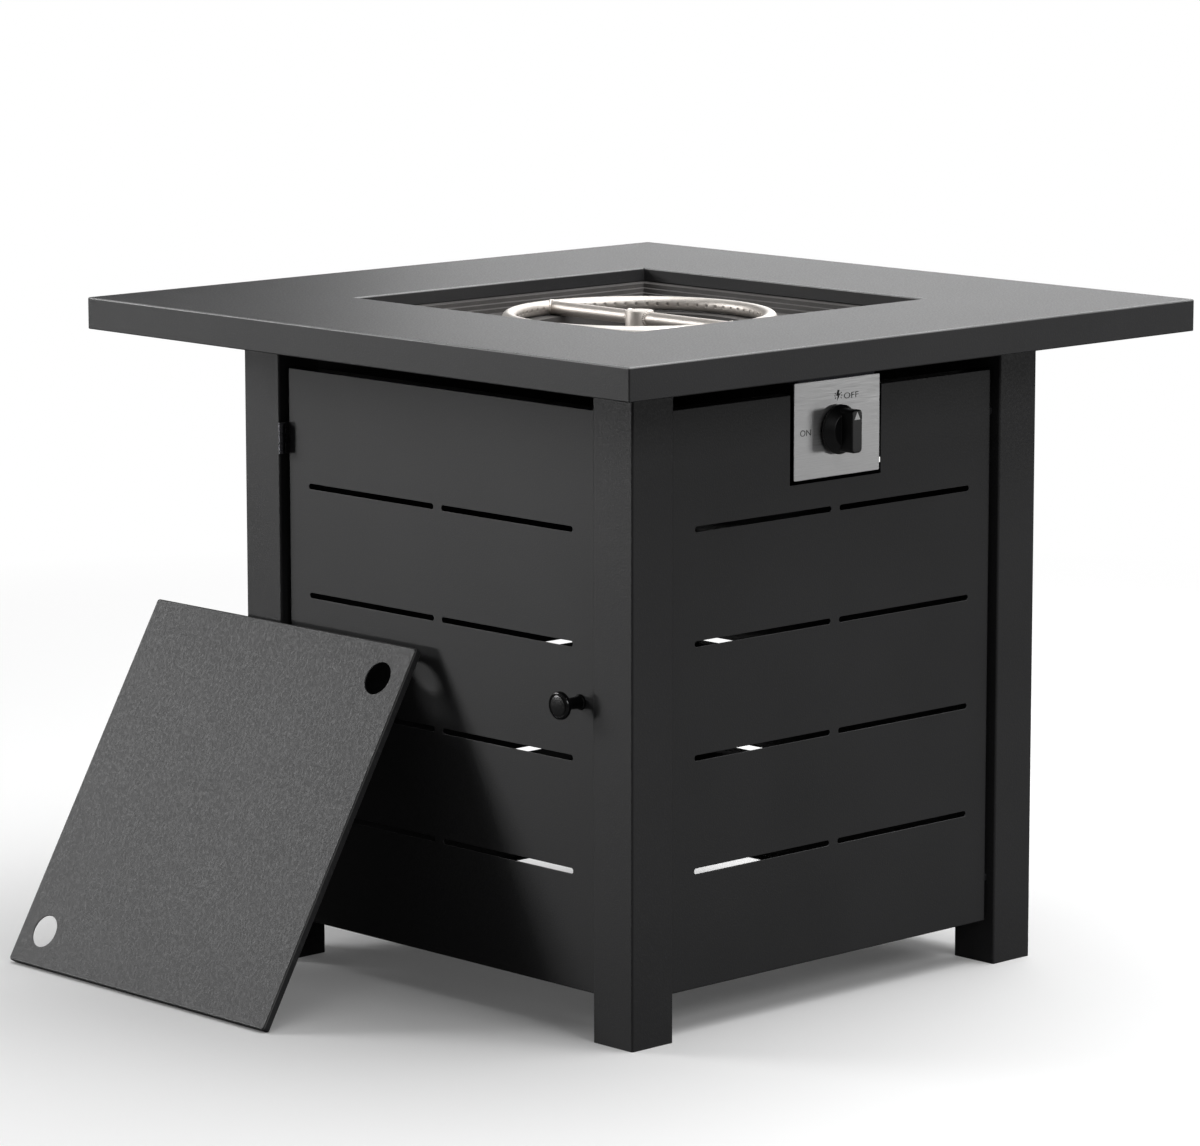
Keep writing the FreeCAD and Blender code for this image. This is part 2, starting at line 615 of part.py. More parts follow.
def legs():
    """Four legs, each drilled for its rails and for what hangs beside it."""
    rail = [(bolt_place, bolt_height, "bolt_size + hole_clearance")]
    fixed = [(spacer_place, height, panel_clear) for height in ("spacer_low", "spacer_high")]
    hinged = [(f"({hinge_front} - hinge_screw_back)", f"({height} {sign} leg_screw_spread / 2)",
               hinge_clear)
              for height in (hinge_low, hinge_high) for sign in "+-"]
    catch = [(f"({catch_front} - catch_depth / 2)", f"({door_middle} {sign} {lug_middle})",
              hinge_clear) for sign in "+-"]
    leg("leg_front_left", 0, rail + fixed, rail + catch)
    leg("leg_front_right", 90, rail + fixed, rail + fixed)
    leg("leg_back_right", 180, rail + fixed, rail + fixed)
    leg("leg_back_left", -90, rail + hinged, rail + fixed)


def leg_plugs():
    """Plastic plugs pressed into the feet of the legs, flush with the floor."""
    body = new_body("leg_plugs")
    inside = "leg_size - 2 * leg_wall - 2 * plug_clearance"
    base = new_sketch(body, "XY_Plane")
    rectangle(base, inside, inside, f"-{leg_centre}", f"-{leg_centre}")
    floor = pad(body, base, "plug_wall")
    wall = new_sketch(body, "XY_Plane")
    rectangle(wall, inside, inside, f"-{leg_centre}", f"-{leg_centre}")
    bore = f"{inside} - 2 * plug_wall"
    rectangle(wall, bore, bore, f"-{leg_centre}", f"-{leg_centre}")
    sleeve = pad(body, wall, "plug_depth")
    ring_pattern(body, [floor, sleeve], "4")


def rail(side):
    """Angle rail under the top between two legs, with an end tab bolted to each leg."""
    body = new_body(f"top_rail_{side}", sides[side])
    section = new_sketch(body, "YZ_Plane")
    front, back = f"-{rail_face}", f"(rail_size - {rail_face})"
    outline(section, [(front, top_under), (front, rail_bottom), (f"(rail_sheet - {rail_face})", rail_bottom),
                      (f"(rail_sheet - {rail_face})", f"({top_under} - rail_sheet)"),
                      (back, f"({top_under} - rail_sheet)"), (back, top_under)])
    pad(body, section, f"2 * {leg_inner}", both=True)
    tab = new_sketch(body, "YZ_Plane", z=leg_inner)
    outline(tab, [(front, top_under), (front, rail_bottom), (back, rail_bottom), (back, top_under)])
    mirror(body, [pad(body, tab, "rail_sheet", reverse=True)], "YZ_Plane")
    bolt_hole = new_sketch(body, "YZ_Plane")
    small_hole(bolt_hole, "bolt_size + hole_clearance", f"-{bolt_place}", bolt_height)
    pocket(body, bolt_hole, f"2 * {leg_inner}", both=True)
    stud_hole = new_sketch(body, "XY_Plane", z=top_under)
    for sign in ("-", ""):
        small_hole(stud_hole, "stud_size + hole_clearance", f"{sign}stud_spread / 2", f"-{bolt_place}")
    pocket(body, stud_hole, "rail_sheet")
    if side == "front":
        bracket_hole = new_sketch(body, "XZ_Plane", z=rail_face)
        for sign in ("-", ""):
            small_hole(bracket_hole, small_clear, f"{sign}bracket_screw_spread / 2", bolt_height)
        pocket(body, bracket_hole, "rail_sheet")


def rail_bolts():
    """Eight bolts through the rails' end tabs into the legs."""
    body = new_body("rail_bolts")
    bolts = []
    for side, forward in (("", True), ("-", False)):
        bolts += screw(body, "YZ_Plane", f"-{bolt_place}", bolt_height, f"{side}({leg_inner} - rail_sheet)",
                       "bolt_size", "rail_sheet + leg_wall + screw_reach", "screw_head", "screw_head_height",
                       forward)
    ring_pattern(body, bolts, "4")


def top_fixings():
    """Studs welded under the top and the nuts that hold the rails to them."""
    studs = new_body("tabletop_studs")
    pins = new_sketch(studs, "XY_Plane", z=top_under)
    nuts = new_body("tabletop_nuts")
    hexes = new_sketch(nuts, "XY_Plane", z=f"{top_under} - rail_sheet")
    for sign in ("-", ""):
        small_round(pins, "stud_size", f"{sign}stud_spread / 2", f"-{bolt_place}")
        hexagon(hexes, "nut_size", f"{sign}stud_spread / 2", f"-{bolt_place}")
        small_hole(hexes, "stud_size + 2 * running_gap", f"{sign}stud_spread / 2", f"-{bolt_place}")
    ring_pattern(studs, [pad(studs, pins, "stud_length", reverse=True)], "4")
    ring_pattern(nuts, [pad(nuts, hexes, "nut_height", reverse=True)], "4")


def bowl_bearer(label, sign):
    """Square tube welded between two rails, under one edge of the bowl."""
    body = new_body(label)
    section = new_sketch(body, "XZ_Plane", x=f"{sign}bearer_spread / 2", y=f"{bowl_under} - bearer_size / 2")
    rectangle(section, "bearer_size", "bearer_size")
    rectangle(section, "bearer_size - 2 * bearer_wall", "bearer_size - 2 * bearer_wall")
    pad(body, section, f"2 * ({rail_face} - rail_sheet)", both=True)
    holes = new_sketch(body, "XY_Plane", z=bowl_under)
    for end in ("-", ""):
        small_hole(holes, small_clear, f"{sign}bearer_spread / 2", f"{end}bowl_screw_spread / 2")
    pocket(body, holes, "bearer_wall")


def fire_bowl():
    """Pressed bowl: flange under the top, a ledge for the lid, steps, a flat shelf and a round well."""
    body = new_body("fire_bowl")
    flange = new_sketch(body, "XY_Plane", z=bowl_top)
    rectangle(flange, "bowl_flange", "bowl_flange")
    pad(body, flange, "bowl_sheet", reverse=True)
    steps = range(int(value("bowl_steps")))
    widths = [f"(opening_width - 2 * bowl_ledge - {2 * step} * bowl_step)" for step in steps]
    for step, width in enumerate(widths, start=1):
        outside = new_sketch(body, "XY_Plane", z=bowl_top)
        rectangle(outside, f"{width} + 2 * bowl_sheet", f"{width} + 2 * bowl_sheet")
        pad(body, outside, f"{step} * bowl_drop + bowl_sheet", reverse=True)
    well = new_sketch(body, "XZ_Plane")
    outline(well, [("0", well_under), ("(well_size / 2 - well_bend)", well_under),
                   ("(well_size / 2 + bowl_sheet)", f"({well_floor} + well_bend)"),
                   ("(well_size / 2 + bowl_sheet)", bowl_shelf), ("0", bowl_shelf)])
    revolve(body, well)
    for step, width in enumerate(widths, start=1):
        inside = new_sketch(body, "XY_Plane", z=bowl_top)
        rectangle(inside, width, width)
        pocket(body, inside, f"{step} * bowl_drop")
    hollow = new_sketch(body, "XZ_Plane")
    outline(hollow, [("0", well_floor), ("(well_size / 2 - well_bend)", well_floor),
                     ("well_size / 2", f"({well_floor} + well_bend)"), ("well_size / 2", bowl_shelf),
                     ("0", bowl_shelf)])
    groove(body, hollow)
    holes = new_sketch(body, "XY_Plane", z=bowl_top)
    for across in ("-", ""):
        for along in ("-", ""):
            small_hole(holes, small_clear, f"{across}bearer_spread / 2", f"{along}bowl_screw_spread / 2")
    pocket(body, holes, "bowl_sheet")
    centre_holes = new_sketch(body, "XY_Plane", z=well_floor)
    circle(centre_holes, "nipple_size + 2 * hole_clearance")
    circle(centre_holes, "bushing_neck + 2 * hole_clearance", "0", "-electrode_reach")
    pocket(body, centre_holes, "bowl_sheet")
    drain = new_sketch(body, "XY_Plane", z=well_floor)
    small_hole(drain, "drain_size", "drain_circle / 2")
    ring_pattern(body, [pocket(body, drain, "bowl_sheet")], "drain_count", grows=False)


def bowl_screws():
    """Four screws that hold the bowl's flange to the bearers."""
    body = new_body("bowl_screws")
    for across in ("-", ""):
        for along in ("-", ""):
            screw(body, "XY_Plane", f"{across}bearer_spread / 2", f"{along}bowl_screw_spread / 2", bowl_top,
                  "bracket_screw", "bowl_sheet + bearer_wall + screw_reach", "bracket_screw_head",
                  "small_head_height", False)


def burner_ring():
    """Ring, crossbar and hub in one piece, with flame ports round the inside of the ring."""
    body = new_body("burner_ring")
    tube = new_sketch(body, "XZ_Plane")
    many_sided(tube, tube_sides, f"ring_tube / {flat_ratio}", "ring_size / 2", ring_height)
    revolve(body, tube)
    bar = new_sketch(body, "YZ_Plane")
    many_sided(bar, tube_sides, f"crossbar_size / {flat_ratio}", "0", ring_height)
    pad(body, bar, "ring_size", both=True)
    hub = new_sketch(body, "XY_Plane", z=well_floor)
    circle(hub, "hub_size")
    pad(body, hub, f"{ring_height} + ring_tube / 2 + hub_rise - {well_floor}")
    nipple = new_sketch(body, "XY_Plane", z=well_floor)
    circle(nipple, "nipple_size")
    pad(body, nipple, "nipple_length", reverse=True)
    riser = new_sketch(body, "XY_Plane", z=f"{well_floor} - nipple_length")
    circle(riser, "nipple_bore")
    pocket(body, riser, f"{ring_height} - {well_floor} + nipple_length", reverse=True)
    port = new_sketch(body, "XZ_Plane", z="ring_size / 2 - ring_tube / 2 + ring_wall")
    rectangle(port, "port_size", "port_size", "0", ring_height)
    hole = pocket(body, port, "2 * ring_wall")
    ring_pattern(body, [hole], "port_count", grows=False)


def burner_locknut():
    """Nut that clamps the bowl's floor against the burner's hub."""
    body = new_body("burner_locknut")
    ring = new_sketch(body, "XY_Plane", z=well_under)
    hexagon(ring, "locknut_hex")
    circle(ring, "nipple_size + 2 * running_gap")
    pad(body, ring, "locknut_height", reverse=True)


def air_mixer():
    """Sleeve with air windows between the gas nozzle and the burner's hub."""
    body = new_body("air_mixer")
    sleeve = new_sketch(body, "XY_Plane", z=mixer_bottom)
    circle(sleeve, "nipple_size + 2 * mixer_wall")
    pad(body, sleeve, "mixer_length")
    bore = new_sketch(body, "XY_Plane", z=mixer_top)
    circle(bore, "nipple_size + 2 * running_gap")
    pocket(body, bore, "mixer_length - mixer_wall")
    seat = new_sketch(body, "XY_Plane", z=mixer_bottom)
    circle(seat, "orifice_size + 2 * running_gap")
    pocket(body, seat, "mixer_wall", reverse=True)
    window = new_sketch(body, "YZ_Plane", z="nipple_size / 2 - mixer_wall")
    window_middle = f"{mixer_bottom} + 2 * mixer_wall + window_height / 2"
    rectangle(window, "window_width", "window_height", "0", window_middle)
    opening = pocket(body, window, "3 * mixer_wall", reverse=True)
    ring_pattern(body, [opening], "window_count", grows=False)


def gas_orifice():
    """Brass nozzle: hexagon under the mixer, spigot through its floor and a fine jet."""
    body = new_body("gas_orifice")
    collar = new_sketch(body, "XY_Plane", z=mixer_bottom)
    hexagon(collar, "orifice_hex")
    pad(body, collar, "orifice_hex_height", reverse=True)
    spigot = new_sketch(body, "XY_Plane", z=mixer_bottom)
    circle(spigot, "orifice_size")
    pad(body, spigot, "orifice_length")
    round_edges(body, "orifice_size / 4", lambda middle, direction:
                near(middle.z, value(f"{mixer_bottom} + orifice_length")), bevel=True)
    pipe_seat = new_sketch(body, "XY_Plane", z=f"{mixer_bottom} - orifice_hex_height")
    circle(pipe_seat, "pipe_size + 2 * running_gap")
    pocket(body, pipe_seat, "pipe_seat", reverse=True)
    jet = new_sketch(body, "XY_Plane", z=f"{mixer_bottom} - orifice_hex_height")
    small_hole(jet, "orifice_bore")
    pocket(body, jet, "orifice_hex_height + orifice_length", reverse=True)


def feed_pipe():
    """Pipe from the valve's outlet, down, along and up into the nozzle."""
    body = new_body("feed_pipe")
    start = f"-({valve_end} + pipe_seat)"
    low = "(knob_height - pipe_dip)"
    drop = "-(well_size / 2 + pipe_clear)"
    end = f"({mixer_bottom} - orifice_hex_height + pipe_seat)"
    path = new_sketch(body, "YZ_Plane")
    quarter = math.pi / 2
    bends = [(f"({drop} - pipe_bend)", "(knob_height - pipe_bend)", 0),
             (f"({drop} + pipe_bend)", f"({low} + pipe_bend)", 2),
             ("-pipe_bend", f"({low} + pipe_bend)", 3)]
    arcs = []
    for across, up, quarters in bends:
        centre = FreeCAD.Vector(value(across), value(up), 0)
        ring = Part.Circle(centre, FreeCAD.Vector(0, 0, 1), value("pipe_bend"))
        arc = path.addGeometry(Part.ArcOfCircle(ring, quarters * quarter, (quarters + 1) * quarter))
        constrain(path, "pipe_bend", "Radius", arc)
        fix_point(path, arc, 3, across, up)
        arcs.append(arc)
    first, second, third = (path.Geometry[arc] for arc in arcs)
    runs = [(FreeCAD.Vector(value(start), value("knob_height"), 0), first.EndPoint),
            (first.StartPoint, second.StartPoint), (second.EndPoint, third.StartPoint),
            (third.EndPoint, FreeCAD.Vector(0, value(end), 0))]
    lines = [path.addGeometry(Part.LineSegment(*run)) for run in runs]
    fix_point(path, lines[0], 1, start, "knob_height")
    fix_point(path, lines[3], 2, "0", end)
    joins = [(lines[0], 2, arcs[0], 2), (arcs[0], 1, lines[1], 1), (lines[1], 2, arcs[1], 1),
             (arcs[1], 2, lines[2], 1), (lines[2], 2, arcs[2], 1), (arcs[2], 2, lines[3], 1)]
    for join in joins:
        path.addConstraint(Sketcher.Constraint("Tangent", *join))
    section = new_sketch(body, "XZ_Plane", z=f"-({start})")
    small_round(section, "pipe_size", "0", "knob_height")
    small_round(section, "pipe_size - 2 * pipe_wall", "0", "knob_height")
    doc.recompute()
    sweep = body.newObject("PartDesign::AdditivePipe", "feed_pipe_sweep")
    sweep.Profile = section
    sweep.Spine = path
    finish_feature(body, sweep, 0, True)


def pipe_nuts():
    """The nuts at the two ends of the feed pipe."""
    body = new_body("pipe_nuts")
    at_valve = new_sketch(body, "XZ_Plane", z=valve_end)
    hexagon(at_valve, "pipe_nut", "0", "knob_height")
    circle(at_valve, "pipe_size + 2 * running_gap", "0", "knob_height")
    pad(body, at_valve, "pipe_nut_length", reverse=True)
    at_nozzle = new_sketch(body, "XY_Plane", z=f"{mixer_bottom} - orifice_hex_height")
    hexagon(at_nozzle, "pipe_nut")
    circle(at_nozzle, "pipe_size + 2 * running_gap")
    pad(body, at_nozzle, "pipe_nut_length", reverse=True)


def gas_valve():
    """Valve body with ears, spring pocket, stem bore, outlet behind and inlet below."""
    body = new_body("gas_valve")
    block = new_sketch(body, "XZ_Plane", z=valve_face)
    rectangle(block, "valve_width", "valve_height", "0", "knob_height")
    pad(body, block, "valve_length", reverse=True)
    ears = new_sketch(body, "XZ_Plane", z=valve_face)
    rectangle(ears, "ear_span", "ear_height", "0", "knob_height")
    pad(body, ears, "ear_sheet", reverse=True)
    outlet = new_sketch(body, "XZ_Plane", z=valve_back)
    circle(outlet, "valve_boss", "0", "knob_height")
    pad(body, outlet, "valve_boss_length", reverse=True)
    half_width, half_height = value("valve_width / 2"), value("valve_height / 2")
    round_edges(body, "valve_edge", lambda middle, direction: near(abs(middle.x), half_width)
                and near(abs(middle.z - value("knob_height")), half_height) and near(abs(direction.y), 1))
    tail_bore = f"({valve_face} - {collar_back} + tail_length + knob_travel + seat_gap)"
    pockets = [(valve_face, "spring_bore", "spring_bore_depth", False),
               (valve_face, "tail_size + 2 * running_gap", tail_bore, False),
               (valve_end, "pipe_size + 2 * running_gap", "pipe_seat", True),
               (valve_end, "pipe_size - 2 * pipe_wall", "valve_boss_length + valve_length / 3", True)]
    for place, size, depth, from_back in pockets:
        bore = new_sketch(body, "XZ_Plane", z=place)
        small_hole(bore, size, "0", "knob_height")
        pocket(body, bore, depth, reverse=from_back)
    screw_holes = new_sketch(body, "XZ_Plane", z=valve_face)
    for sign in ("-", ""):
        small_hole(screw_holes, small_clear, f"{sign}ear_screw_spread / 2", "knob_height")
    pocket(body, screw_holes, "ear_sheet")
    inlet = new_sketch(body, "XY_Plane", z=inlet_top)
    circle(inlet, "inlet_spigot + 2 * running_gap", "0", f"-{inlet_place}")
    pocket(body, inlet, "inlet_spigot_length + seat_gap", reverse=True)


def valve_screws():
    """Two screws from behind through the valve's ears into the bracket."""
    body = new_body("valve_screws")
    for sign in ("-", ""):
        screw(body, "XZ_Plane", f"{sign}ear_screw_spread / 2", "knob_height", f"({valve_face} - ear_sheet)",
              "bracket_screw", "ear_sheet + bracket_sheet", "bracket_screw_head", "small_head_height", True)


def inlet_fitting():
    """Fitting under the valve whose thread takes the gas hose."""
    body = new_body("inlet_fitting")
    collar = new_sketch(body, "XY_Plane", y=f"-{inlet_place}", z=inlet_top)
    hexagon(collar, "inlet_hex")
    pad(body, collar, "inlet_hex_height", reverse=True)
    spigot = new_sketch(body, "XY_Plane", y=f"-{inlet_place}", z=inlet_top)
    circle(spigot, "inlet_spigot")
    pad(body, spigot, "inlet_spigot_length")
    thread = new_sketch(body, "XY_Plane", y=f"-{inlet_place}", z=f"{inlet_top} - inlet_hex_height")
    circle(thread, "inlet_thread")
    pad(body, thread, "inlet_length", reverse=True)
    bottom = f"{inlet_top} - inlet_hex_height - inlet_length"
    low_edge = value(bottom)
    round_edges(body, "inlet_edge", lambda middle, direction: near(middle.z, low_edge), bevel=True)
    bore = new_sketch(body, "XY_Plane", y=f"-{inlet_place}", z=bottom)
    circle(bore, "inlet_bore")
    pocket(body, bore, "inlet_hex_height + inlet_length + inlet_spigot_length", reverse=True)


def valve_stem():
    """Stem with a flat for the knob, a collar behind the bracket and a round tail in the valve."""
    body = new_body("valve_stem")
    half = new_sketch(body, "XY_Plane", z="knob_height")
    tip, tail = f"-({knob_base} + stem_in_knob)", f"(tail_length - {collar_back})"
    outline(half, [("0", tip), ("stem_size / 2", tip), ("stem_size / 2", f"-{collar_front}"),
                   ("collar_size / 2", f"-{collar_front}"), ("collar_size / 2", f"-{collar_back}"),
                   ("tail_size / 2", f"-{collar_back}"), ("tail_size / 2", tail), ("0", tail)])
    revolve(body, half)
    flat = new_sketch(body, "XZ_Plane", z=f"{knob_base} + stem_in_knob")
    rectangle(flat, "2 * stem_size", "stem_size", "0", "knob_height + stem_size - stem_flat")
    pocket(body, flat, "stem_in_knob")


def stem_washer():
    """Washer between the collar and the spring."""
    body = new_body("stem_washer")
    ring = new_sketch(body, "XZ_Plane", z=washer_front)
    circle(ring, "washer_size", "0", "knob_height")
    circle(ring, "tail_size + 2 * seat_gap", "0", "knob_height")
    pad(body, ring, "washer_height", reverse=True)


def valve_spring():
    """Coil spring that lifts the knob again."""
    body = new_body("valve_spring")
    wire = new_sketch(body, "XY_Plane", z="knob_height")
    many_sided(wire, wire_sides, "spring_wire", "spring_mean / 2", f"-({washer_back} - spring_wire / 2)")
    coil = body.newObject("PartDesign::AdditiveHelix", "valve_spring_coil")
    coil.Profile = wire
    coil.ReferenceAxis = (wire, ["V_Axis"])
    coil.Mode = "height-turns-angle"
    bind(coil, "Height", f"{washer_back} - {spring_seat} - spring_wire")
    bind(coil, "Turns", "spring_turns")
    finish_feature(body, coil, 0, True)


def piezo_igniter():
    """Spark generator on top of the valve, with its terminal at the back."""
    body = new_body("piezo_igniter")
    base = "(knob_height + valve_height / 2)"
    case = new_sketch(body, "XZ_Plane", z=valve_face)
    rectangle(case, "igniter_width", "igniter_height", "0", f"{base} + igniter_height / 2")
    pad(body, case, "igniter_length", reverse=True)
    half, top = value("igniter_width / 2"), value(f"{base} + igniter_height")
    round_edges(body, "valve_edge", lambda middle, direction:
                near(abs(middle.x), half) and near(middle.z, top) and near(abs(direction.y), 1))
    blade = new_sketch(body, "XZ_Plane", z=f"{valve_face} - igniter_length")
    rectangle(blade, "wire_size * 3", "wire_size / 2", "0", f"{base} + igniter_height / 2")
    pad(body, blade, "terminal_length", reverse=True)


def spark_electrode():
    """Ceramic rod through the bowl's floor whose wire ends beside the burner ring."""
    body = new_body("spark_electrode")
    rod = new_sketch(body, "XY_Plane", y="-electrode_reach", z=f"{well_floor} - ceramic_below")
    circle(rod, "ceramic_size")
    pad(body, rod, "ceramic_above + ceramic_below")
    collar = new_sketch(body, "XY_Plane", y="-electrode_reach", z=f"{well_floor} + bushing_flange")
    circle(collar, "ceramic_collar")
    pad(body, collar, "bushing_flange")
    terminal = new_sketch(body, "XY_Plane", y="-electrode_reach", z=f"{well_floor} - ceramic_below")
    small_round(terminal, "wire_size")
    pad(body, terminal, "terminal_length", reverse=True)
    tip = f"(ring_size / 2 - ring_tube / 2 - spark_gap - electrode_reach)"
    wire = new_sketch(body, "XY_Plane", y="-electrode_reach", z=f"{well_floor} + ceramic_above")
    small_round(wire, "wire_size")
    pad(body, wire, "wire_rise")
    hook = new_sketch(body, "XZ_Plane", z="electrode_reach - wire_size / 2")
    small_round(hook, "wire_size", "0", f"{well_floor} + ceramic_above + wire_rise - wire_size / 2")
    pad(body, hook, f"{tip} + wire_size / 2")


def electrode_bushing():
    """Steel bushing that carries the electrode in the bowl's floor, and its nut below."""
    body = new_body("electrode_bushing")
    flange = new_sketch(body, "XY_Plane", y="-electrode_reach", z=well_floor)
    circle(flange, "bushing_size")
    circle(flange, "ceramic_size + 2 * running_gap")
    pad(body, flange, "bushing_flange")
    neck = new_sketch(body, "XY_Plane", y="-electrode_reach", z=well_floor)
    circle(neck, "bushing_neck")
    circle(neck, "ceramic_size + 2 * running_gap")
    pad(body, neck, "bushing_height", reverse=True)
    nut = new_body("electrode_nut")
    ring = new_sketch(nut, "XY_Plane", y="-electrode_reach", z=well_under)
    hexagon(ring, "bushing_size")
    circle(ring, "bushing_neck + 2 * running_gap")
    pad(nut, ring, "bushing_nut", reverse=True)


def control_plate():
    """Steel plate behind the control knob."""
    body = new_body("control_plate")
    face = new_sketch(body, "XZ_Plane", z=panel_face)
    rectangle(face, "plate_width", "plate_height", "0", "plate_bottom + plate_height / 2")
    circle(face, "stem_hole", "0", "knob_height")
    pad(body, face, "plate_sheet")
    half, low, high = value("plate_width / 2"), value("plate_bottom"), value("plate_bottom + plate_height")
    round_edges(body, "plate_corner", lambda middle, direction: near(abs(middle.x), half)
                and (near(middle.z, low) or near(middle.z, high)) and near(abs(direction.y), 1))


def control_bracket():
    """Folded bracket hung from the front rail; it carries the plate and the valve."""
    body = new_body("control_bracket")
    low, high = "(plate_bottom + plate_corner)", f"({bolt_height} + bracket_screw_head)"
    fold_top = f"({rail_bottom} - seat_gap)"
    web = new_sketch(body, "XZ_Plane", z=rail_face)
    rectangle(web, "bracket_width", f"{high} - {low}", "0", f"({high} + {low}) / 2")
    circle(web, "stem_hole", "0", "knob_height")
    for sign in ("-", ""):
        small_hole(web, "bracket_screw", f"{sign}ear_screw_spread / 2", "knob_height")
        small_hole(web, small_clear, f"{sign}bracket_screw_spread / 2", bolt_height)
    pad(body, web, "bracket_sheet")
    folds = new_sketch(body, "XZ_Plane", z=rail_face)
    for sign in ("-", ""):
        rectangle(folds, "bracket_sheet", f"{fold_top} - {low}", f"{sign}(bracket_width - bracket_sheet) / 2",
                  f"({fold_top} + {low}) / 2")
    pad(body, folds, "bracket_flange", reverse=True)


def bracket_screws():
    """Two screws that hang the bracket on the front rail."""
    body = new_body("bracket_screws")
    for sign in ("-", ""):
        screw(body, "XZ_Plane", f"{sign}bracket_screw_spread / 2", bolt_height, panel_face, "bracket_screw",
              "bracket_sheet + rail_sheet + screw_reach", "bracket_screw_head", "small_head_height", False)


def control_knob():
    """Round skirt with an upright grip bar; hollow behind, with a boss bored to suit the stem's flat."""
    body = new_body("control_knob")
    half = new_sketch(body, "XY_Plane", z="knob_height")
    rim = "(knob_skirt / 2)"
    steps = [("0", "0"), (rim, "0"), (rim, "skirt_edge"), (f"({rim} - skirt_edge / 2)", "(skirt_edge * 1.5)"),
             ("(knob_skirt / 2 - skirt_slope)", "skirt_height"), ("0", "skirt_height")]
    outline(half, [(radius, f"-({knob_base} + {depth})") for radius, depth in steps])
    revolve(body, half)
    grip = new_sketch(body, "XZ_Plane", z=knob_base)
    rectangle(grip, "grip_width", "grip_length", "0", "knob_height")
    pad(body, grip, "knob_depth")
    front = value(f"-({knob_base} + knob_depth)")
    half_width, half_length = value("grip_width / 2"), value("grip_length / 2")
    round_edges(body, "grip_end", lambda middle, direction: near(abs(middle.x), half_width)
                and near(abs(middle.z - value("knob_height")), half_length) and near(abs(direction.y), 1))
    round_edges(body, "grip_edge", lambda middle, direction: near(middle.y, front), bevel=True)
    hollow = new_sketch(body, "XY_Plane", z="knob_height")
    boss, inner = "(stem_size / 2 + boss_wall)", "(knob_skirt / 2 - knob_wall)"
    roof = "(skirt_height - knob_wall)"
    shell = [(boss, "0"), (inner, "0"), (inner, "skirt_edge"), (f"({inner} - skirt_slope)", roof),
             (boss, roof)]
    outline(hollow, [(radius, f"-({knob_base} + {depth})") for radius, depth in shell])
    groove(body, hollow)
    bore = new_sketch(body, "XZ_Plane", z=knob_base)
    flat_circle(bore, "stem_size + 2 * running_gap", "stem_flat", "0", "knob_height")
    pocket(body, bore, "stem_in_knob + seat_gap", reverse=True)


def panel(label, side, notched=False, hinged=False):
    """Folded tray with rows of vent slots; the front one is notched, the door drilled for hinges and pull."""
    body = new_body(label, sides[side])
    middle = door_middle
    face = new_sketch(body, "XZ_Plane", z=panel_face)
    rectangle(face, "panel_width", "panel_height", "0", middle)
    pad(body, face, "panel_depth", reverse=True)
    half, low, high = value(panel_edge), value("panel_bottom"), value("panel_bottom + panel_height")
    front = -value(panel_face)

    round_edges(body, "panel_bend", lambda middle, direction: near(middle.y, front)
                and (near(abs(middle.x), half) or near(middle.z, low) or near(middle.z, high)))
    inside = new_sketch(body, "XZ_Plane", z=panel_back)
    rectangle(inside, "panel_width - 2 * panel_sheet", "panel_height - 2 * panel_sheet", "0", middle)
    pocket(body, inside, "panel_depth - panel_sheet", reverse=True)
    slots = new_sketch(body, "XZ_Plane", z=panel_face)
    for sign in ("-", ""):
        slot(slots, f"{sign}(slot_length + slot_bridge) / 2", "slot_top")
    row = pocket(body, slots, "panel_sheet")
    row_pattern(body, [row], slots, "V_Axis", "slot_pitch * (slot_rows - 1)", "slot_rows")
    drill = new_sketch(body, "YZ_Plane")
    if hinged:
        for height in (hinge_low, hinge_high):
            for sign in "+-":
                small_hole(drill, hinge_clear, hinge_screw_line,
                       f"({height} {sign} door_screw_spread / 2)")
        pocket(body, drill, panel_edge, reverse=False)
        pull_hole = new_sketch(body, "XZ_Plane", z=panel_face)
        small_hole(pull_hole, panel_clear, "pull_across", middle)
        pocket(body, pull_hole, "panel_sheet")
    else:
        for height in ("spacer_low", "spacer_high"):
            small_hole(drill, panel_clear, f"-{spacer_place}", height)
        pocket(body, drill, "panel_width", both=True)
    if notched:
        notch = new_sketch(body, "XZ_Plane", z=panel_face)
        notch_bottom = "(plate_bottom - notch_gap)"
        notch_top = "(panel_bottom + panel_height + panel_bend)"
        rectangle(notch, "plate_width + 2 * notch_gap", f"{notch_top} - {notch_bottom}", "0",
                  f"({notch_top} + {notch_bottom}) / 2")
        pocket(body, notch, "panel_depth")


def panel_fixings():
    """Spacers between the fixed panels and the legs, and the screws through them."""
    spacers, screws = new_body("panel_spacers"), new_body("panel_screws")
    rings, bolts = [], []
    for side in ("", "-"):
        for height in ("spacer_low", "spacer_high"):
            ring = new_sketch(spacers, "YZ_Plane", z=f"{side}{leg_inner}")
            small_round(ring, "spacer_size", f"-{spacer_place}", height)
            small_hole(ring, panel_clear, f"-{spacer_place}", height)
            rings.append(pad(spacers, ring, f"{leg_inner} - {panel_edge}", reverse=side == ""))
            seat = f"{side}({panel_edge} - panel_sheet)"
            length = f"{leg_inner} - {panel_edge} + panel_sheet + leg_wall + screw_reach"
            bolts += screw(screws, "YZ_Plane", f"-{spacer_place}", height, seat, "panel_screw", length,
                           "screw_head", "screw_head_height", side == "")
    ring_pattern(spacers, rings, "3", angle=180)
    ring_pattern(screws, bolts, "3", angle=180)


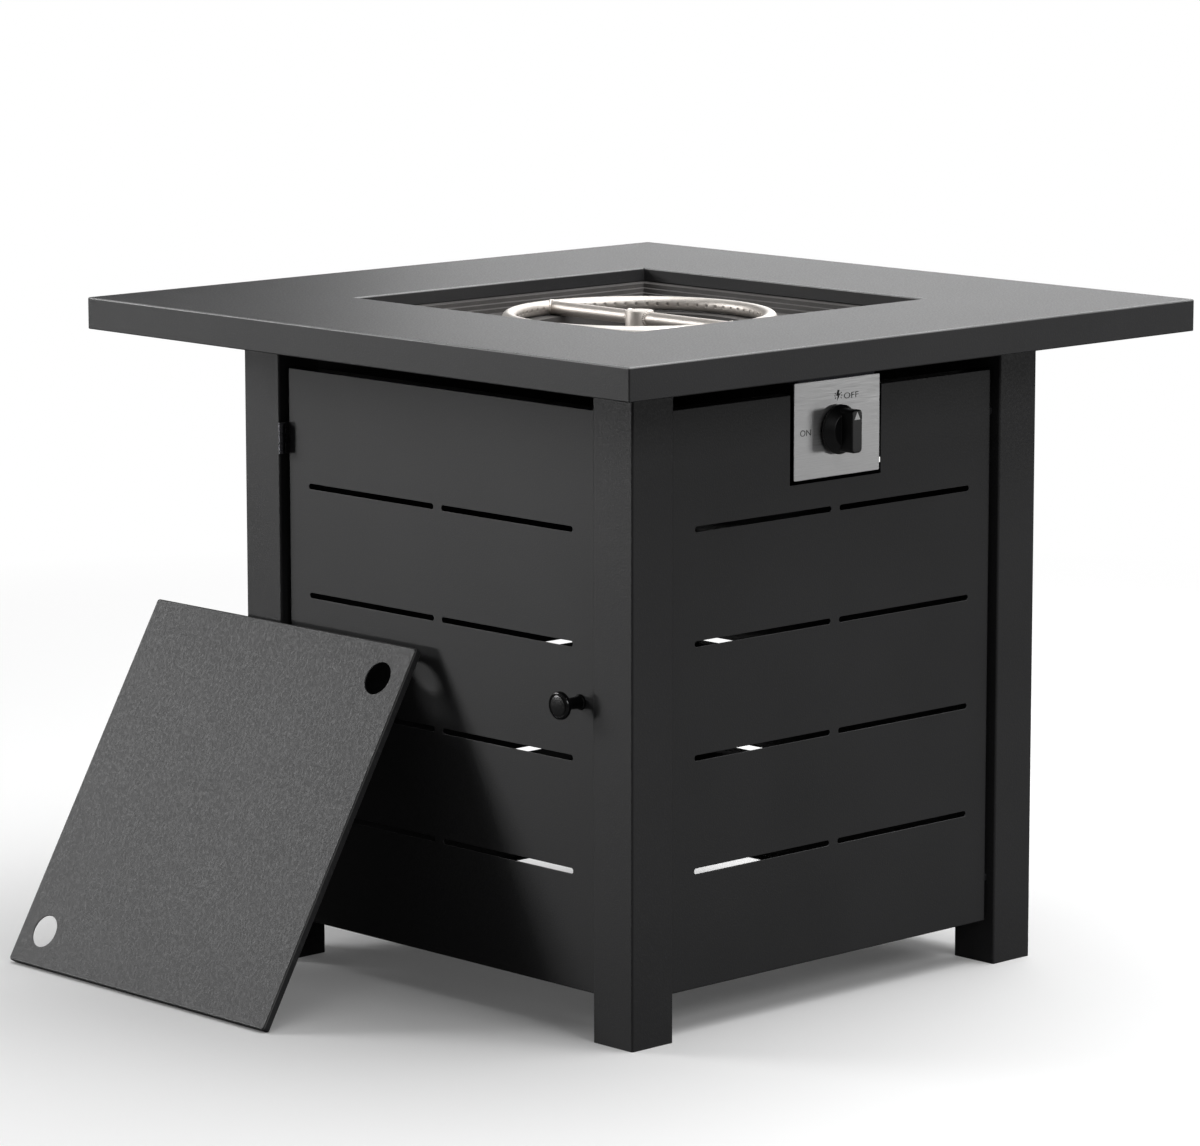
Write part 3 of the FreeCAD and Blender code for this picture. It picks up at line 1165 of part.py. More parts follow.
def hinge(name, height):
    """One barrel hinge: a leaf on the leg with the two end knuckles, a leaf on the door, and the pin."""
    low, high = f"({height} - hinge_height / 2)", f"({height} + hinge_height / 2)"
    middle_low, middle_high = f"({height} - {knuckle_height} / 2)", f"({height} + {knuckle_height} / 2)"
    axis_x, axis_y = f"-{hinge_across}", f"-{hinge_front}"
    leg_side, door_side = f"-{leg_inner}", f"-{panel_edge}"
    leg_leaf = new_body(f"hinge_leaf_leg_{name}", sides["door"])
    spans = ((low, f"({middle_low} - barrel_gap)"), (f"({middle_high} + barrel_gap)", high))
    hinge_leaf(leg_leaf, leg_side, f"({leg_side} + leaf_sheet)", (low, high), spans, axis_x, axis_y)
    door_leaf = new_body(f"hinge_leaf_door_{name}", sides["door"])
    hinge_leaf(door_leaf, f"({door_side} - leaf_sheet)", door_side, (low, high), ((middle_low, middle_high),),
               axis_x, axis_y)
    for leaf, spread in ((leg_leaf, "leg_screw_spread"), (door_leaf, "door_screw_spread")):
        holes = new_sketch(leaf, "YZ_Plane")
        for sign in "+-":
            small_hole(holes, hinge_clear, hinge_screw_line, f"({height} {sign} {spread} / 2)")
        pocket(leaf, holes, leg_inner, reverse=False)
    pin = new_body(f"hinge_pin_{name}", sides["door"])
    rod = new_sketch(pin, "XY_Plane", z=low)
    circle(rod, "hinge_pin", axis_x, axis_y)
    pad(pin, rod, "hinge_height")


def hinge_leaf(body, left, right, plate_span, knuckle_spans, axis_x, axis_y):
    """Flat leaf behind the barrel, with a neck and a bored knuckle in each knuckle span."""
    front, back = f"-({hinge_front} - barrel_size / 2 - barrel_gap)", f"-({hinge_front} - leaf_reach)"
    plate = new_sketch(body, "XY_Plane", z=plate_span[0])
    outline(plate, [(left, front), (right, front), (right, back), (left, back)])
    pad(body, plate, f"{plate_span[1]} - {plate_span[0]}")
    for low, high in knuckle_spans:
        neck = new_sketch(body, "XY_Plane", z=low)
        neck_back = f"({front} + barrel_gap)"
        outline(neck, [(left, axis_y), (right, axis_y), (right, neck_back), (left, neck_back)])
        pad(body, neck, f"{high} - {low}")
        knuckle = new_sketch(body, "XY_Plane", z=low)
        circle(knuckle, "barrel_size", axis_x, axis_y)
        pad(body, knuckle, f"{high} - {low}")
        bore = new_sketch(body, "XY_Plane", z=low)
        small_hole(bore, "hinge_pin + 2 * running_gap", axis_x, axis_y)
        pocket(body, bore, f"{high} - {low}", reverse=True)


def hinge_screws():
    """Screws of the leg leaves, and screws of the door leaves."""
    places = {"hinge_screws_leg": (f"-({leg_inner} - leaf_sheet)", False, "leg_screw_spread",
                                   "leaf_sheet + leg_wall + screw_reach"),
              "hinge_screws_door": (f"-({panel_edge} + leaf_sheet)", True, "door_screw_spread",
                                    "leaf_sheet + panel_sheet + screw_reach")}
    for label, (seat, forward, spread, length) in places.items():
        body = new_body(label, sides["door"])
        for height in (hinge_low, hinge_high):
            for sign in "+-":
                screw(body, "YZ_Plane", hinge_screw_line, f"({height} {sign} {spread} / 2)", seat,
                      "hinge_screw", length, "hinge_screw_head", "hinge_head_height", forward)


def door_pull():
    """Round pull with a dished head, and the screw that holds it from inside the door."""
    body = new_body("door_pull", sides["door"])
    half = new_sketch(body, "XY_Plane", x="pull_across", z=door_middle)
    head_back, dish = "(pull_length - pull_head)", "(pull_length - pull_dish)"
    profile = [("0", "0"), ("pull_neck / 2", "0"), ("pull_neck / 2", head_back), ("pull_size / 2", head_back),
               ("pull_size / 2", "(pull_length - pull_edge)"), ("(pull_size / 2 - pull_edge)", "pull_length"),
               ("(pull_size / 2 - pull_rim)", "pull_length"), ("(pull_size / 2 - pull_rim)", dish),
               ("0", dish)]
    outline(half, [(radius, f"-({panel_face} + {depth})") for radius, depth in profile])
    revolve(body, half)
    thread = new_sketch(body, "XZ_Plane", z=panel_face)
    small_hole(thread, "panel_screw + 2 * running_gap", "pull_across", door_middle)
    pocket(body, thread, "pull_screw_depth + seat_gap", reverse=True)
    fixing = new_body("door_pull_screw", sides["door"])
    screw(fixing, "XZ_Plane", "pull_across", door_middle, f"({panel_face} - panel_sheet)", "panel_screw",
          "panel_sheet + pull_screw_depth", "screw_head", "screw_head_height", True)


def door_catch():
    """Magnetic catch on the front leg, its magnet and screws, and the strike on the door."""
    case = new_body("magnetic_catch", sides["door"])
    depth_middle = f"({catch_front} - catch_depth / 2)"
    foot = new_sketch(case, "YZ_Plane", z=leg_inner)
    rectangle(foot, "catch_depth", "catch_height", f"-{depth_middle}", door_middle)
    pad(case, foot, "catch_lug", reverse=True)
    box = new_sketch(case, "YZ_Plane", z=leg_inner)
    rectangle(box, "catch_depth", "catch_case", f"-{depth_middle}", door_middle)
    pad(case, box, "catch_width", reverse=True)
    holes = new_sketch(case, "YZ_Plane", z=leg_inner)
    for sign in "+-":
        small_hole(holes, hinge_clear, f"-{depth_middle}", f"({door_middle} {sign} {lug_middle})")
    pocket(case, holes, "catch_lug")
    seat = new_sketch(case, "XZ_Plane", x=f"{leg_inner} - catch_width / 2 - catch_lug / 2", z=catch_front)
    rectangle(seat, "magnet_width", "magnet_height", "0", door_middle)
    pocket(case, seat, "magnet_depth")
    magnet = new_body("catch_magnet", sides["door"])
    block = new_sketch(magnet, "XZ_Plane", x=f"{leg_inner} - catch_width / 2 - catch_lug / 2", z=catch_front)
    rectangle(block, "magnet_width", "magnet_height", "0", door_middle)
    pad(magnet, block, "magnet_depth", reverse=True)
    screws = new_body("catch_screws", sides["door"])
    for sign in "+-":
        screw(screws, "YZ_Plane", f"-{depth_middle}", f"({door_middle} {sign} {lug_middle})",
              f"({leg_inner} - catch_lug)", "hinge_screw", "catch_lug + leg_wall + screw_reach",
              "hinge_screw_head", "hinge_head_height", True)
    strike = new_body("catch_strike", sides["door"])
    inner = f"({panel_edge} - panel_sheet)"
    thinner, arm_end = f"({inner} - panel_sheet)", f"({inner} - strike_width)"
    front, back = f"-({panel_face} - panel_sheet - seat_gap)", f"-{panel_back}"
    arm_front = f"-({panel_back} + panel_sheet)"
    angle = new_sketch(strike, "XY_Plane", z=f"{door_middle} - strike_height / 2")
    outline(angle, [(inner, front), (thinner, front), (thinner, arm_front), (arm_end, arm_front),
                    (arm_end, back), (inner, back)])
    pad(strike, angle, "strike_height")


def lid():
    """Square tray with two finger holes; it leans on the leg beside the door, its lower edge on the floor."""
    body = new_body("lid")
    lean = math.radians(value("lid_lean"))
    up_slope = FreeCAD.Vector(math.sin(lean), 0, math.cos(lean))
    outward = FreeCAD.Vector(-math.cos(lean), 0, math.sin(lean))
    turn = FreeCAD.Rotation(FreeCAD.Vector(0, -1, 0), up_slope, outward, "ZYX")
    body.Placement = FreeCAD.Placement(FreeCAD.Vector(), turn)
    bind(body, ".Placement.Base.x", f"-({leg_face} + seat_gap + lid_width * sin(lid_lean))")
    bind(body, ".Placement.Base.y", "lid_centre")
    tray = new_sketch(body, "XY_Plane")
    rectangle(tray, "lid_width", "lid_width", "0", "lid_width / 2")
    pad(body, tray, "lid_depth")
    half, length, top = value("lid_width / 2"), value("lid_width"), value("lid_depth")
    round_edges(body, "lid_corner", lambda middle, direction: near(abs(middle.x), half)
                and (near(middle.y, 0) or near(middle.y, length)) and near(abs(direction.z), 1))
    round_edges(body, "lid_bend", lambda middle, direction: near(middle.z, top), bevel=True)
    inside = new_sketch(body, "XY_Plane")
    rectangle(inside, "lid_width - 2 * lid_sheet", "lid_width - 2 * lid_sheet", "0", "lid_width / 2")
    pocket(body, inside, "lid_depth - lid_sheet", reverse=True)
    holes = new_sketch(body, "XY_Plane", z="lid_depth")
    circle(holes, "lid_hole", "lid_width / 2 - lid_hole_edge", "lid_width - lid_hole_edge")
    circle(holes, "lid_hole", "lid_hole_edge - lid_width / 2", "lid_hole_edge")
    pocket(body, holes, "lid_sheet")


def check_all():
    """Stop on any object that failed to compute and on any sub-part without a sound shape."""
    doc.recompute()
    for thing in doc.Objects:
        if "Invalid" in thing.State or "Error" in thing.State:
            raise RuntimeError(f"{thing.Label} did not compute: {thing.State}")
    for part in sub_parts:
        if part.Shape.isNull() or not part.Shape.isValid() or not part.Shape.Solids:
            raise RuntimeError(f"{part.Label} has no sound shape")


fill_sheet()
tabletop()
legs()
leg_plugs()
for side in sides:
    rail(side)
rail_bolts()
top_fixings()
bowl_bearer("bowl_bearer_left", "-")
bowl_bearer("bowl_bearer_right", "")
fire_bowl()
bowl_screws()
burner_ring()
burner_locknut()
air_mixer()
gas_orifice()
feed_pipe()
pipe_nuts()
gas_valve()
valve_screws()
inlet_fitting()
valve_stem()
stem_washer()
valve_spring()
piezo_igniter()
spark_electrode()
electrode_bushing()
control_plate()
control_bracket()
bracket_screws()
control_knob()
panel("control_panel", "front", notched=True)
panel("right_panel", "right")
panel("back_panel", "back")
panel("door", "door", hinged=True)
panel_fixings()
hinge("upper", hinge_high)
hinge("lower", hinge_low)
hinge_screws()
door_pull()
door_catch()
lid()
check_all()

os.makedirs("parts", exist_ok=True)
for part in sub_parts:
    part.Shape.exportStep(f"parts/{part.Label}.step")
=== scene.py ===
import json
import math

import bmesh
import bpy
import numpy as np
from mathutils import Matrix, Vector


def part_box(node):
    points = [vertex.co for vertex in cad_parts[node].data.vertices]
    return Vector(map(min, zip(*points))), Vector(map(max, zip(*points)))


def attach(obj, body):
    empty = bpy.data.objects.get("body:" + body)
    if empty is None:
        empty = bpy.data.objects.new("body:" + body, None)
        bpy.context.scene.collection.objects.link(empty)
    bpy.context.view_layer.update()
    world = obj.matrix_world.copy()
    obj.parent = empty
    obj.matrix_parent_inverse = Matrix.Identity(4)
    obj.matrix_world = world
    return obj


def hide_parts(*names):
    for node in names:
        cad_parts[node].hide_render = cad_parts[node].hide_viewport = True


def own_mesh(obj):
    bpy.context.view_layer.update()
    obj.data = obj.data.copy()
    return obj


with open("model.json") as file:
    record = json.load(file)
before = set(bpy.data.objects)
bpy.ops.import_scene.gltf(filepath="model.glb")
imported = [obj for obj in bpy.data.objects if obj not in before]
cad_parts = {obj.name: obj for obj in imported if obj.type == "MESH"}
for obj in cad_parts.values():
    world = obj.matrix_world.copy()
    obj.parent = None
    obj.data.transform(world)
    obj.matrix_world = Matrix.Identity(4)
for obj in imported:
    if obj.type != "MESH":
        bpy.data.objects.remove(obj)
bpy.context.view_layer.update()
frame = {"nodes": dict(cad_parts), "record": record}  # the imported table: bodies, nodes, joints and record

mm = 0.001
fullTurn = 2 * math.pi
weldGap = 0.002 * mm  # points closer than this are one
record = frame["record"]
bodyOf = {node: body for body, nodes in record["behaviour"]["bodies"].items() for node in nodes}
slotOf = {part["node"]: part["material_slot"] for part in record["subparts"]}
replaced = set()  # CAD nodes that a detailed piece already stands for


def middleOf(node):
    # the middle of a CAD node's box
    return [(low + high) / 2 for low, high in zip(*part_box(node))]


# Materials

def linear(hexColour):
    # sRGB hex to linear red, green, blue and a full alpha
    parts = [int(hexColour[i:i + 2], 16) / 255 for i in (1, 3, 5)]
    return tuple(c / 12.92 if c <= 0.04045 else ((c + 0.055) / 1.055) ** 2.4 for c in parts) + (1.0,)


def addNode(tree, kind, values=None, links=None, **settings):
    # one node with its settings, its unlinked values and what feeds it
    node = tree.nodes.new(kind)
    for name, setting in settings.items():
        setattr(node, name, setting)
    for socket, number in (values or {}).items():
        node.inputs[socket].default_value = number
    for socket, source in (links or {}).items():
        tree.links.new(source, node.inputs[socket])
    return node


def startMaterial(look):
    # an empty material with its shader, its fixed values and the object's own coordinates
    material = bpy.data.materials.new(look["name"])
    material.use_nodes = True
    tree = material.node_tree
    tree.nodes.clear()
    fixed = {"Metallic": look.get("metallic", 0.0), "Coat Weight": look.get("coat", 0.0),
             "Coat Roughness": 0.1}
    shader = addNode(tree, "ShaderNodeBsdfPrincipled", fixed)
    addNode(tree, "ShaderNodeOutputMaterial", links={"Surface": shader.outputs["BSDF"]})
    return material, tree, shader, addNode(tree, "ShaderNodeTexCoord").outputs["Object"]


def grainOf(tree, place, size, detail=3.0, stretch=(1, 1, 1), turn=(0, 0, 0)):
    # noise whose grains are about size metres, drawn out along an axis by a small stretch number
    moved = addNode(tree, "ShaderNodeMapping", {"Scale": stretch, "Rotation": turn}, {"Vector": place})
    noise = addNode(tree, "ShaderNodeTexNoise", {"Scale": 1 / size, "Detail": detail, "Roughness": 0.6},
                    {"Vector": moved.outputs["Vector"]})
    return noise.outputs["Fac"]


def between(tree, factor, low, high, start=0.35, end=0.65):
    # number that goes from low to high while the pattern goes from start to end
    span = {"From Min": start, "From Max": end, "To Min": low, "To Max": high}
    return addNode(tree, "ShaderNodeMapRange", span, {"Value": factor}).outputs["Result"]


def blended(tree, factor, first, second):
    # colour between two, where each is a colour or another node's output
    node = addNode(tree, "ShaderNodeMix", data_type="RGBA", links={"Factor": factor})
    for socket, colour in (("A", first), ("B", second)):
        target = [s for s in node.inputs if s.name == socket and s.type == "RGBA"][0]
        if isinstance(colour, tuple):
            target.default_value = colour
        else:
            tree.links.new(colour, target)
    return [s for s in node.outputs if s.type == "RGBA"][0]


def roughen(tree, shader, pattern, look, smoother, rougher):
    # roughness about the look's own, and a bump as deep as its peel, both from one pattern
    rough = between(tree, pattern, look["rough"] - smoother, look["rough"] + rougher)
    tree.links.new(rough, shader.inputs["Roughness"])
    bump = addNode(tree, "ShaderNodeBump", {"Strength": 1.0, "Distance": look["peel"]}, {"Height": pattern})
    tree.links.new(bump.outputs["Normal"], shader.inputs["Normal"])


def powderCoat(look):
    # baked powder or enamel: matt, fine orange peel, slightly cloudy, and dust that greys it a little
    material, tree, shader, place = startMaterial(look)
    fine = grainOf(tree, place, look["grain"], stretch=look.get("stretch", (1, 1, 1)),
                   turn=look.get("turn", (0, 0, 0)))
    cloudy = grainOf(tree, place, look["cloud"], detail=2.0)
    body = blended(tree, between(tree, cloudy, 0, 1), linear(look["dark"]), linear(look["light"]))
    grains = between(tree, fine, 0, look["speckle"], start=0.55, end=0.75)
    speckled = blended(tree, grains, body, linear(look["dust"]))
    tree.links.new(speckled, shader.inputs["Base Color"])
    roughen(tree, shader, fine, look, smoother=0.05, rougher=0.07)
    return material


def bareMetal(look):
    # drawn, brushed, plated or cast metal: lines or grains of its working, and a faint tarnish
    material, tree, shader, place = startMaterial(dict(look, metallic=1.0))
    lines = grainOf(tree, place, look["grain"], detail=4.0, stretch=look["stretch"])
    stain = grainOf(tree, place, look["cloud"])
    worked = between(tree, lines, 0, 1, start=0.3, end=0.7)
    clean = blended(tree, worked, linear(look["dark"]), linear(look["light"]))
    aged = between(tree, stain, 0, look["tarnished"], start=0.5, end=0.8)
    tree.links.new(blended(tree, aged, clean, linear(look["tarnish"])), shader.inputs["Base Color"])
    roughen(tree, shader, lines, look, smoother=0.06, rougher=0.08)
    return material


# reaches are from the burner's middle: straw fades out towards strawEnd, and blue towards blueEnd
heat = {"straw": "#b08a5a", "blue": "#5c6078", "start": 114.5 * mm, "strawEnd": 122 * mm,
        "blueEnd": 117.5 * mm, "blueShare": 0.7, "wander": 20 * mm, "uneven": 6 * mm}


def heatTinted(look):
    # stainless tube that the flames have coloured straw and blue on its inner side, where the ports are
    material = bareMetal(look)
    tree = material.node_tree
    shader = [n for n in tree.nodes if n.type == "BSDF_PRINCIPLED"][0]
    plain = shader.inputs["Base Color"].links[0].from_socket
    place = [n for n in tree.nodes if n.type == "TEX_COORD"][0].outputs["Object"]
    flat = addNode(tree, "ShaderNodeVectorMath", {1: (1, 1, 0)}, {0: place}, operation="MULTIPLY")
    reach = addNode(tree, "ShaderNodeVectorMath", links={0: flat.outputs["Vector"]}, operation="LENGTH")
    wander = grainOf(tree, place, heat["wander"], detail=2.0)
    uneven = addNode(tree, "ShaderNodeMath", {1: heat["uneven"]}, {0: wander}, operation="MULTIPLY")
    spread = addNode(tree, "ShaderNodeMath", links={0: reach.outputs["Value"], 1: uneven.outputs["Value"]},
                     operation="ADD").outputs["Value"]
    straw = between(tree, spread, look["tint"], 0, heat["start"], heat["strawEnd"])
    blue = between(tree, spread, look["tint"] * heat["blueShare"], 0, heat["start"], heat["blueEnd"])
    warm = blended(tree, straw, plain, linear(heat["straw"]))
    tree.links.new(blended(tree, blue, warm, linear(heat["blue"])), shader.inputs["Base Color"])
    return material


def mouldedPlastic(look):
    # injection moulded plastic: even colour, very slight flow marks, gloss set by the mould's polish
    material, tree, shader, place = startMaterial(look)
    flow = grainOf(tree, place, look["cloud"], detail=2.0)
    fine = grainOf(tree, place, look["grain"])
    body = blended(tree, flow, linear(look["dark"]), linear(look["light"]))
    tree.links.new(body, shader.inputs["Base Color"])
    roughen(tree, shader, fine, look, smoother=0.03, rougher=0.05)
    return material


# Grains are drawn two or three times their real size, so that they show in a picture of the whole table.

# Powder baked on steel sheet and tube: satin, its fine orange peel breaks up what it mirrors.
frameCoat = {"name": "graphite powder coat, frame", "dark": "#262627", "light": "#2b2b2c", "dust": "#48484a",
             "grain": 1.6 * mm, "cloud": 180 * mm, "speckle": 0.35, "rough": 0.5, "peel": 0.12 * mm}
# The same coat, smoothed by cloths: seen at a low angle, it mirrors the light behind it.
topCoat = dict(frameCoat, name="graphite powder coat, table top", rough=0.46, peel=0.06 * mm)
# A thicker, grittier coat: a grain that shows, a little lighter than the frame.
lidCoat = dict(frameCoat, name="graphite powder coat, lid", dark="#303031", light="#353536", dust="#565656",
               grain=2.2 * mm, stretch=(1, 1, 0.35), turn=(0, math.radians(-30), 0), speckle=0.5,
               peel=0.16 * mm)
# Enamel sprayed on the pressed bowl and baked by the flames: brownish, blotchy and dull. Its grey, far
# lighter than the frame's coat, is painted light in the sunken bowl.
bowlCoat = dict(frameCoat, name="heat resistant enamel, bowl", dark="#4a4847", light="#555352",
                dust="#6c655f", grain=2.0 * mm, cloud=60 * mm, speckle=0.5, rough=0.48)
# Where hands and feet rub a coat, its edges are a little lighter and smoother: thin light lines; on the top's
# folds the lighter colour is a painted highlight.
frameEdge = dict(frameCoat, name="frame coat, rubbed edge", dark="#3a3a3b", light="#4a4a4b", rough=0.38)
# the top's folds: a painted highlight, far lighter than the top's coat
topFold = dict(topCoat, name="top coat, rubbed fold", dark="#707070", light="#868686", rough=0.3)
lidEdge = dict(lidCoat, name="lid coat, rubbed edge", dark="#4c4c4c", light="#606060", rough=0.36)

# Drawn and pickled stainless tube: pale, with wide soft highlights, and tinted where the flames reach.
tubeSteel = {"name": "stainless tube, heat tinted", "dark": "#e4dfd9", "light": "#f4f0eb",
             "tarnish": "#cbbfb4", "grain": 1.2 * mm, "stretch": (1, 1, 1), "cloud": 30 * mm,
             "tarnished": 0.3, "rough": 0.48, "peel": 0.02 * mm, "tint": 0.12}
# Sheet brushed from side to side: fine level lines, and highlights smeared upright.
plateSteel = dict(tubeSteel, name="brushed stainless plate", dark="#c4c4c4", light="#e0e0e0",
                  tarnish="#b4b4b4", grain=0.7 * mm, stretch=(0.02, 1, 1), rough=0.42, tarnished=0.2,
                  peel=0.012 * mm)
# Zinc laid on in a bath: bluish, cloudy, fairly bright.
zincPlate = dict(tubeSteel, name="zinc plated steel", dark="#9aa0a4", light="#c2c6c6", tarnish="#8d8f84",
                 grain=3 * mm, cloud=8 * mm, rough=0.38, tarnished=0.5)
# The same plate, then blackened in acid: a dark, slightly bluish sheen.
blackPlate = dict(zincPlate, name="black passivated zinc plate", dark="#1c1c1e", light="#26262a",
                  tarnish="#32323a")
# Nickel with a black top layer on the hinges: dark, with clearer highlights.
nickelPlate = dict(zincPlate, name="black nickel plate, hinges", dark="#57575a", light="#68686c",
                   tarnish="#4a4a50", rough=0.3)
# Brass turned on a lathe: yellow with fine rings, browned in places.
turnedBrass = dict(tubeSteel, name="turned brass", dark="#b8933f", light="#d8b45c", tarnish="#7a5c2c",
                   grain=0.8 * mm, stretch=(1, 1, 0.1), cloud=10 * mm, rough=0.3, tarnished=0.4)
# Aluminium cast in a steel die: grainy grey that mirrors nothing clearly.
castAluminium = dict(tubeSteel, name="die cast aluminium", dark="#8f9294", light="#b4b6b7", tarnish="#76787a",
                     grain=0.9 * mm, cloud=12 * mm, rough=0.52, tarnished=0.4, peel=0.08 * mm)
# Powder pressed and fired: a dark, dull, slightly rough grey.
sinteredMagnet = dict(tubeSteel, name="sintered ferrite magnet", dark="#3a3a3c", light="#4a4a4c",
                      tarnish="#2c2c2e", grain=0.7 * mm, cloud=5 * mm, rough=0.6, tarnished=0.4,
                      peel=0.05 * mm)
# Steel inside the ports: nearly black and without shine, a painted shade for the dark of the holes.
portSoot = dict(tubeSteel, name="sooted steel inside the ports", dark="#0c0a0a", light="#1a1614",
                tarnish="#201a16", rough=0.7)

# Thermoset pressed in a polished mould: deep black with small sharp highlights.
glossPlastic = {"name": "gloss black thermoset plastic", "dark": "#0a0a0b", "light": "#0f0f10",
                "cloud": 12 * mm, "grain": 0.8 * mm, "rough": 0.16, "peel": 0.01 * mm}
# The same from a satin mould, and handled: black with wide soft highlights.
knobPlastic = dict(glossPlastic, name="satin black thermoset plastic", rough=0.34)
# Polyethylene, injection moulded: a waxy, dull black.
mattPlastic = {"name": "black polyethylene", "dark": "#17171a", "light": "#1e1e20", "cloud": 15 * mm,
               "grain": 0.9 * mm, "rough": 0.58, "peel": 0.05 * mm}
# Alumina with a fired glaze: a warm white with a wet shine.
whiteCeramic = {"name": "glazed alumina ceramic", "dark": "#e4ded2", "light": "#f1ede4", "cloud": 9 * mm,
                "grain": 1.0 * mm, "rough": 0.22, "peel": 0.015 * mm, "coat": 0.4}
# Inks laid on from a pad or through a screen: even, flat colour.
whitePrint = dict(mattPlastic, name="white pad print", dark="#f6f6f6", light="#ffffff", rough=0.5)
blackPrint = dict(mattPlastic, name="black screen print", dark="#161616", light="#222222", rough=0.5)

# finishes are named by the record's slots; the rest are only on some pieces or edges
finishes = {"frame_steel": powderCoat(frameCoat), "top_steel": powderCoat(topCoat),
            "lid_steel": powderCoat(lidCoat), "bowl_steel": powderCoat(bowlCoat),
            "stainless": heatTinted(tubeSteel), "zinc": bareMetal(zincPlate),
            "brass": bareMetal(turnedBrass), "aluminium": bareMetal(castAluminium),
            "black_plastic": mouldedPlastic(glossPlastic), "matt_plastic": mouldedPlastic(mattPlastic),
            "ceramic": mouldedPlastic(whiteCeramic), "magnet": bareMetal(sinteredMagnet)}
# edge coats: rubbed wear on the frame and lid, a painted highlight on the top's folds
wornEdges = {"frame_steel": powderCoat(frameEdge), "top_steel": powderCoat(topFold),
             "lid_steel": powderCoat(lidEdge)}
brushed, blackZinc, darkNickel, sootedSteel = map(bareMetal, (plateSteel, blackPlate, nickelPlate, portSoot))
knobFinish, whiteInk, blackInk = map(mouldedPlastic, (knobPlastic, whitePrint, blackPrint))
print("materials ready:", len(bpy.data.materials))


# Shapes

def gridFaces(rows, columns, closedRows=False):
    # quads between neighbouring points of a grid whose columns, and rows if closed, wrap round
    row, column = np.meshgrid(np.arange(rows if closedRows else rows - 1), np.arange(columns), indexing="ij")
    nextRow, nextColumn = (row + 1) % rows, (column + 1) % columns
    corners = [row * columns + column, row * columns + nextColumn,
               nextRow * columns + nextColumn, nextRow * columns + column]
    return np.stack(corners, -1).reshape(-1, 4)


def joined(parts):
    # several point and face arrays as one
    points, faces, count = [], [], 0
    for somePoints, someFaces in parts:
        points.append(np.reshape(somePoints, (-1, 3)))
        faces.append(someFaces + count)
        count += len(points[-1])
    return np.concatenate(points), np.concatenate(faces)


def placed(points, origin, axis):
    # local Z laid along an axis, and the local origin moved to a place
    turn = np.array(Vector((0, 0, 1)).rotation_difference(Vector(axis).normalized()).to_matrix())
    return np.reshape(points, (-1, 3)) @ turn.T + np.array(origin)


def turned(radius, along, columns=64):
    # a profile carried round Z: x = r cos t, y = r sin t; radius and height may also change with the angle t
    t = np.arange(columns) / columns * fullTurn
    radius = np.broadcast_to(np.reshape(radius, (len(radius), -1)), (len(radius), columns))
    along = np.broadcast_to(np.reshape(along, (len(along), -1)), (len(along), columns))
    points = np.stack([radius * np.cos(t), radius * np.sin(t), along], -1)
    return points.reshape(-1, 3), gridFaces(len(radius), columns)


def tubeAlong(path, radius, columns=24, closed=False):
    # a circle carried along a path, square to it: p + r (cos t side + sin t up)
    path = np.asarray(path, float)
    ahead = np.roll(path, -1, 0) - np.roll(path, 1, 0) if closed else np.gradient(path, axis=0)
    ahead /= np.linalg.norm(ahead, axis=1)[:, None]
    normal = np.linalg.svd(path - path.mean(0))[2][2]  # square to the plane that the path lies nearest to
    side = np.cross(ahead, normal)
    side /= np.linalg.norm(side, axis=1)[:, None]
    up = np.cross(side, ahead)
    t = (np.arange(columns) / columns * fullTurn)[None, :, None]
    points = path[:, None] + radius * (np.cos(t) * side[:, None] + np.sin(t) * up[:, None])
    return points.reshape(-1, 3), gridFaces(len(path), columns, closedRows=closed)


def makePiece(name, shape, material, body, nodes=(), sharp=35):
    # a mesh from arrays, welded, with its faces outward and hard edges only where it turns sharply
    points, faces = shape
    mesh = bpy.data.meshes.new(name)
    mesh.from_pydata(points.tolist(), [], faces.tolist())
    work = bmesh.new()
    work.from_mesh(mesh)
    bmesh.ops.remove_doubles(work, verts=work.verts, dist=weldGap)
    holes = [edge for edge in work.edges if edge.is_boundary]
    if holes:
        bmesh.ops.holes_fill(work, edges=holes, sides=0)
    bmesh.ops.recalc_face_normals(work, faces=work.faces)
    work.to_mesh(mesh)
    work.free()
    return finishPiece(name, mesh, [material], body, nodes, sharp)


def finishPiece(name, mesh, materials, body, nodes=(), sharp=35):
    # a mesh made a piece: its materials and shading, the nodes it replaces and the body it rides
    for material in materials:
        mesh.materials.append(material)
    mesh.shade_smooth()
    mesh.set_sharp_from_angle(angle=math.radians(sharp))
    piece = bpy.data.objects.new(name, mesh)
    bpy.context.scene.collection.objects.link(piece)
    if nodes:
        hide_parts(*nodes)
        replaced.update(nodes)
    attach(piece, body)
    return piece


def plainName(node):
    # a CAD node's name as a piece's: gas_valve becomes gasValve
    first, *rest = node.split("_")
    return first + "".join(word.capitalize() for word in rest)


def standIn(node, shape, sharp):
    # a detailed piece in place of a CAD node, with that node's body and the finish of its slot
    slot = slotOf[node]
    return makePiece(plainName(node), shape, finishes[slot], bodyOf[node], (node,), sharp)


tiltedNodes = {"lid"}  # a bevelled face that has holes and leans is filled right only as triangles
wipedNodes = {"tabletop"}  # cloths smooth its level faces; its folds, which the CAD has round already, get a painted highlight
# angles in degrees; upright and level limit how far a face's normal rises
rounding = {"flatAngle": 0.6, "sharpAngle": 40, "segments": 2, "upright": 0.05, "level": 0.98}


def wipedFace(rise):
    # place in a wiped piece's list of materials: 0 level, 1 fold with its painted highlight, 2 upright
    if rounding["upright"] < rise < rounding["level"]:
        return 1
    return 2 if abs(rise) < rounding["upright"] else 0


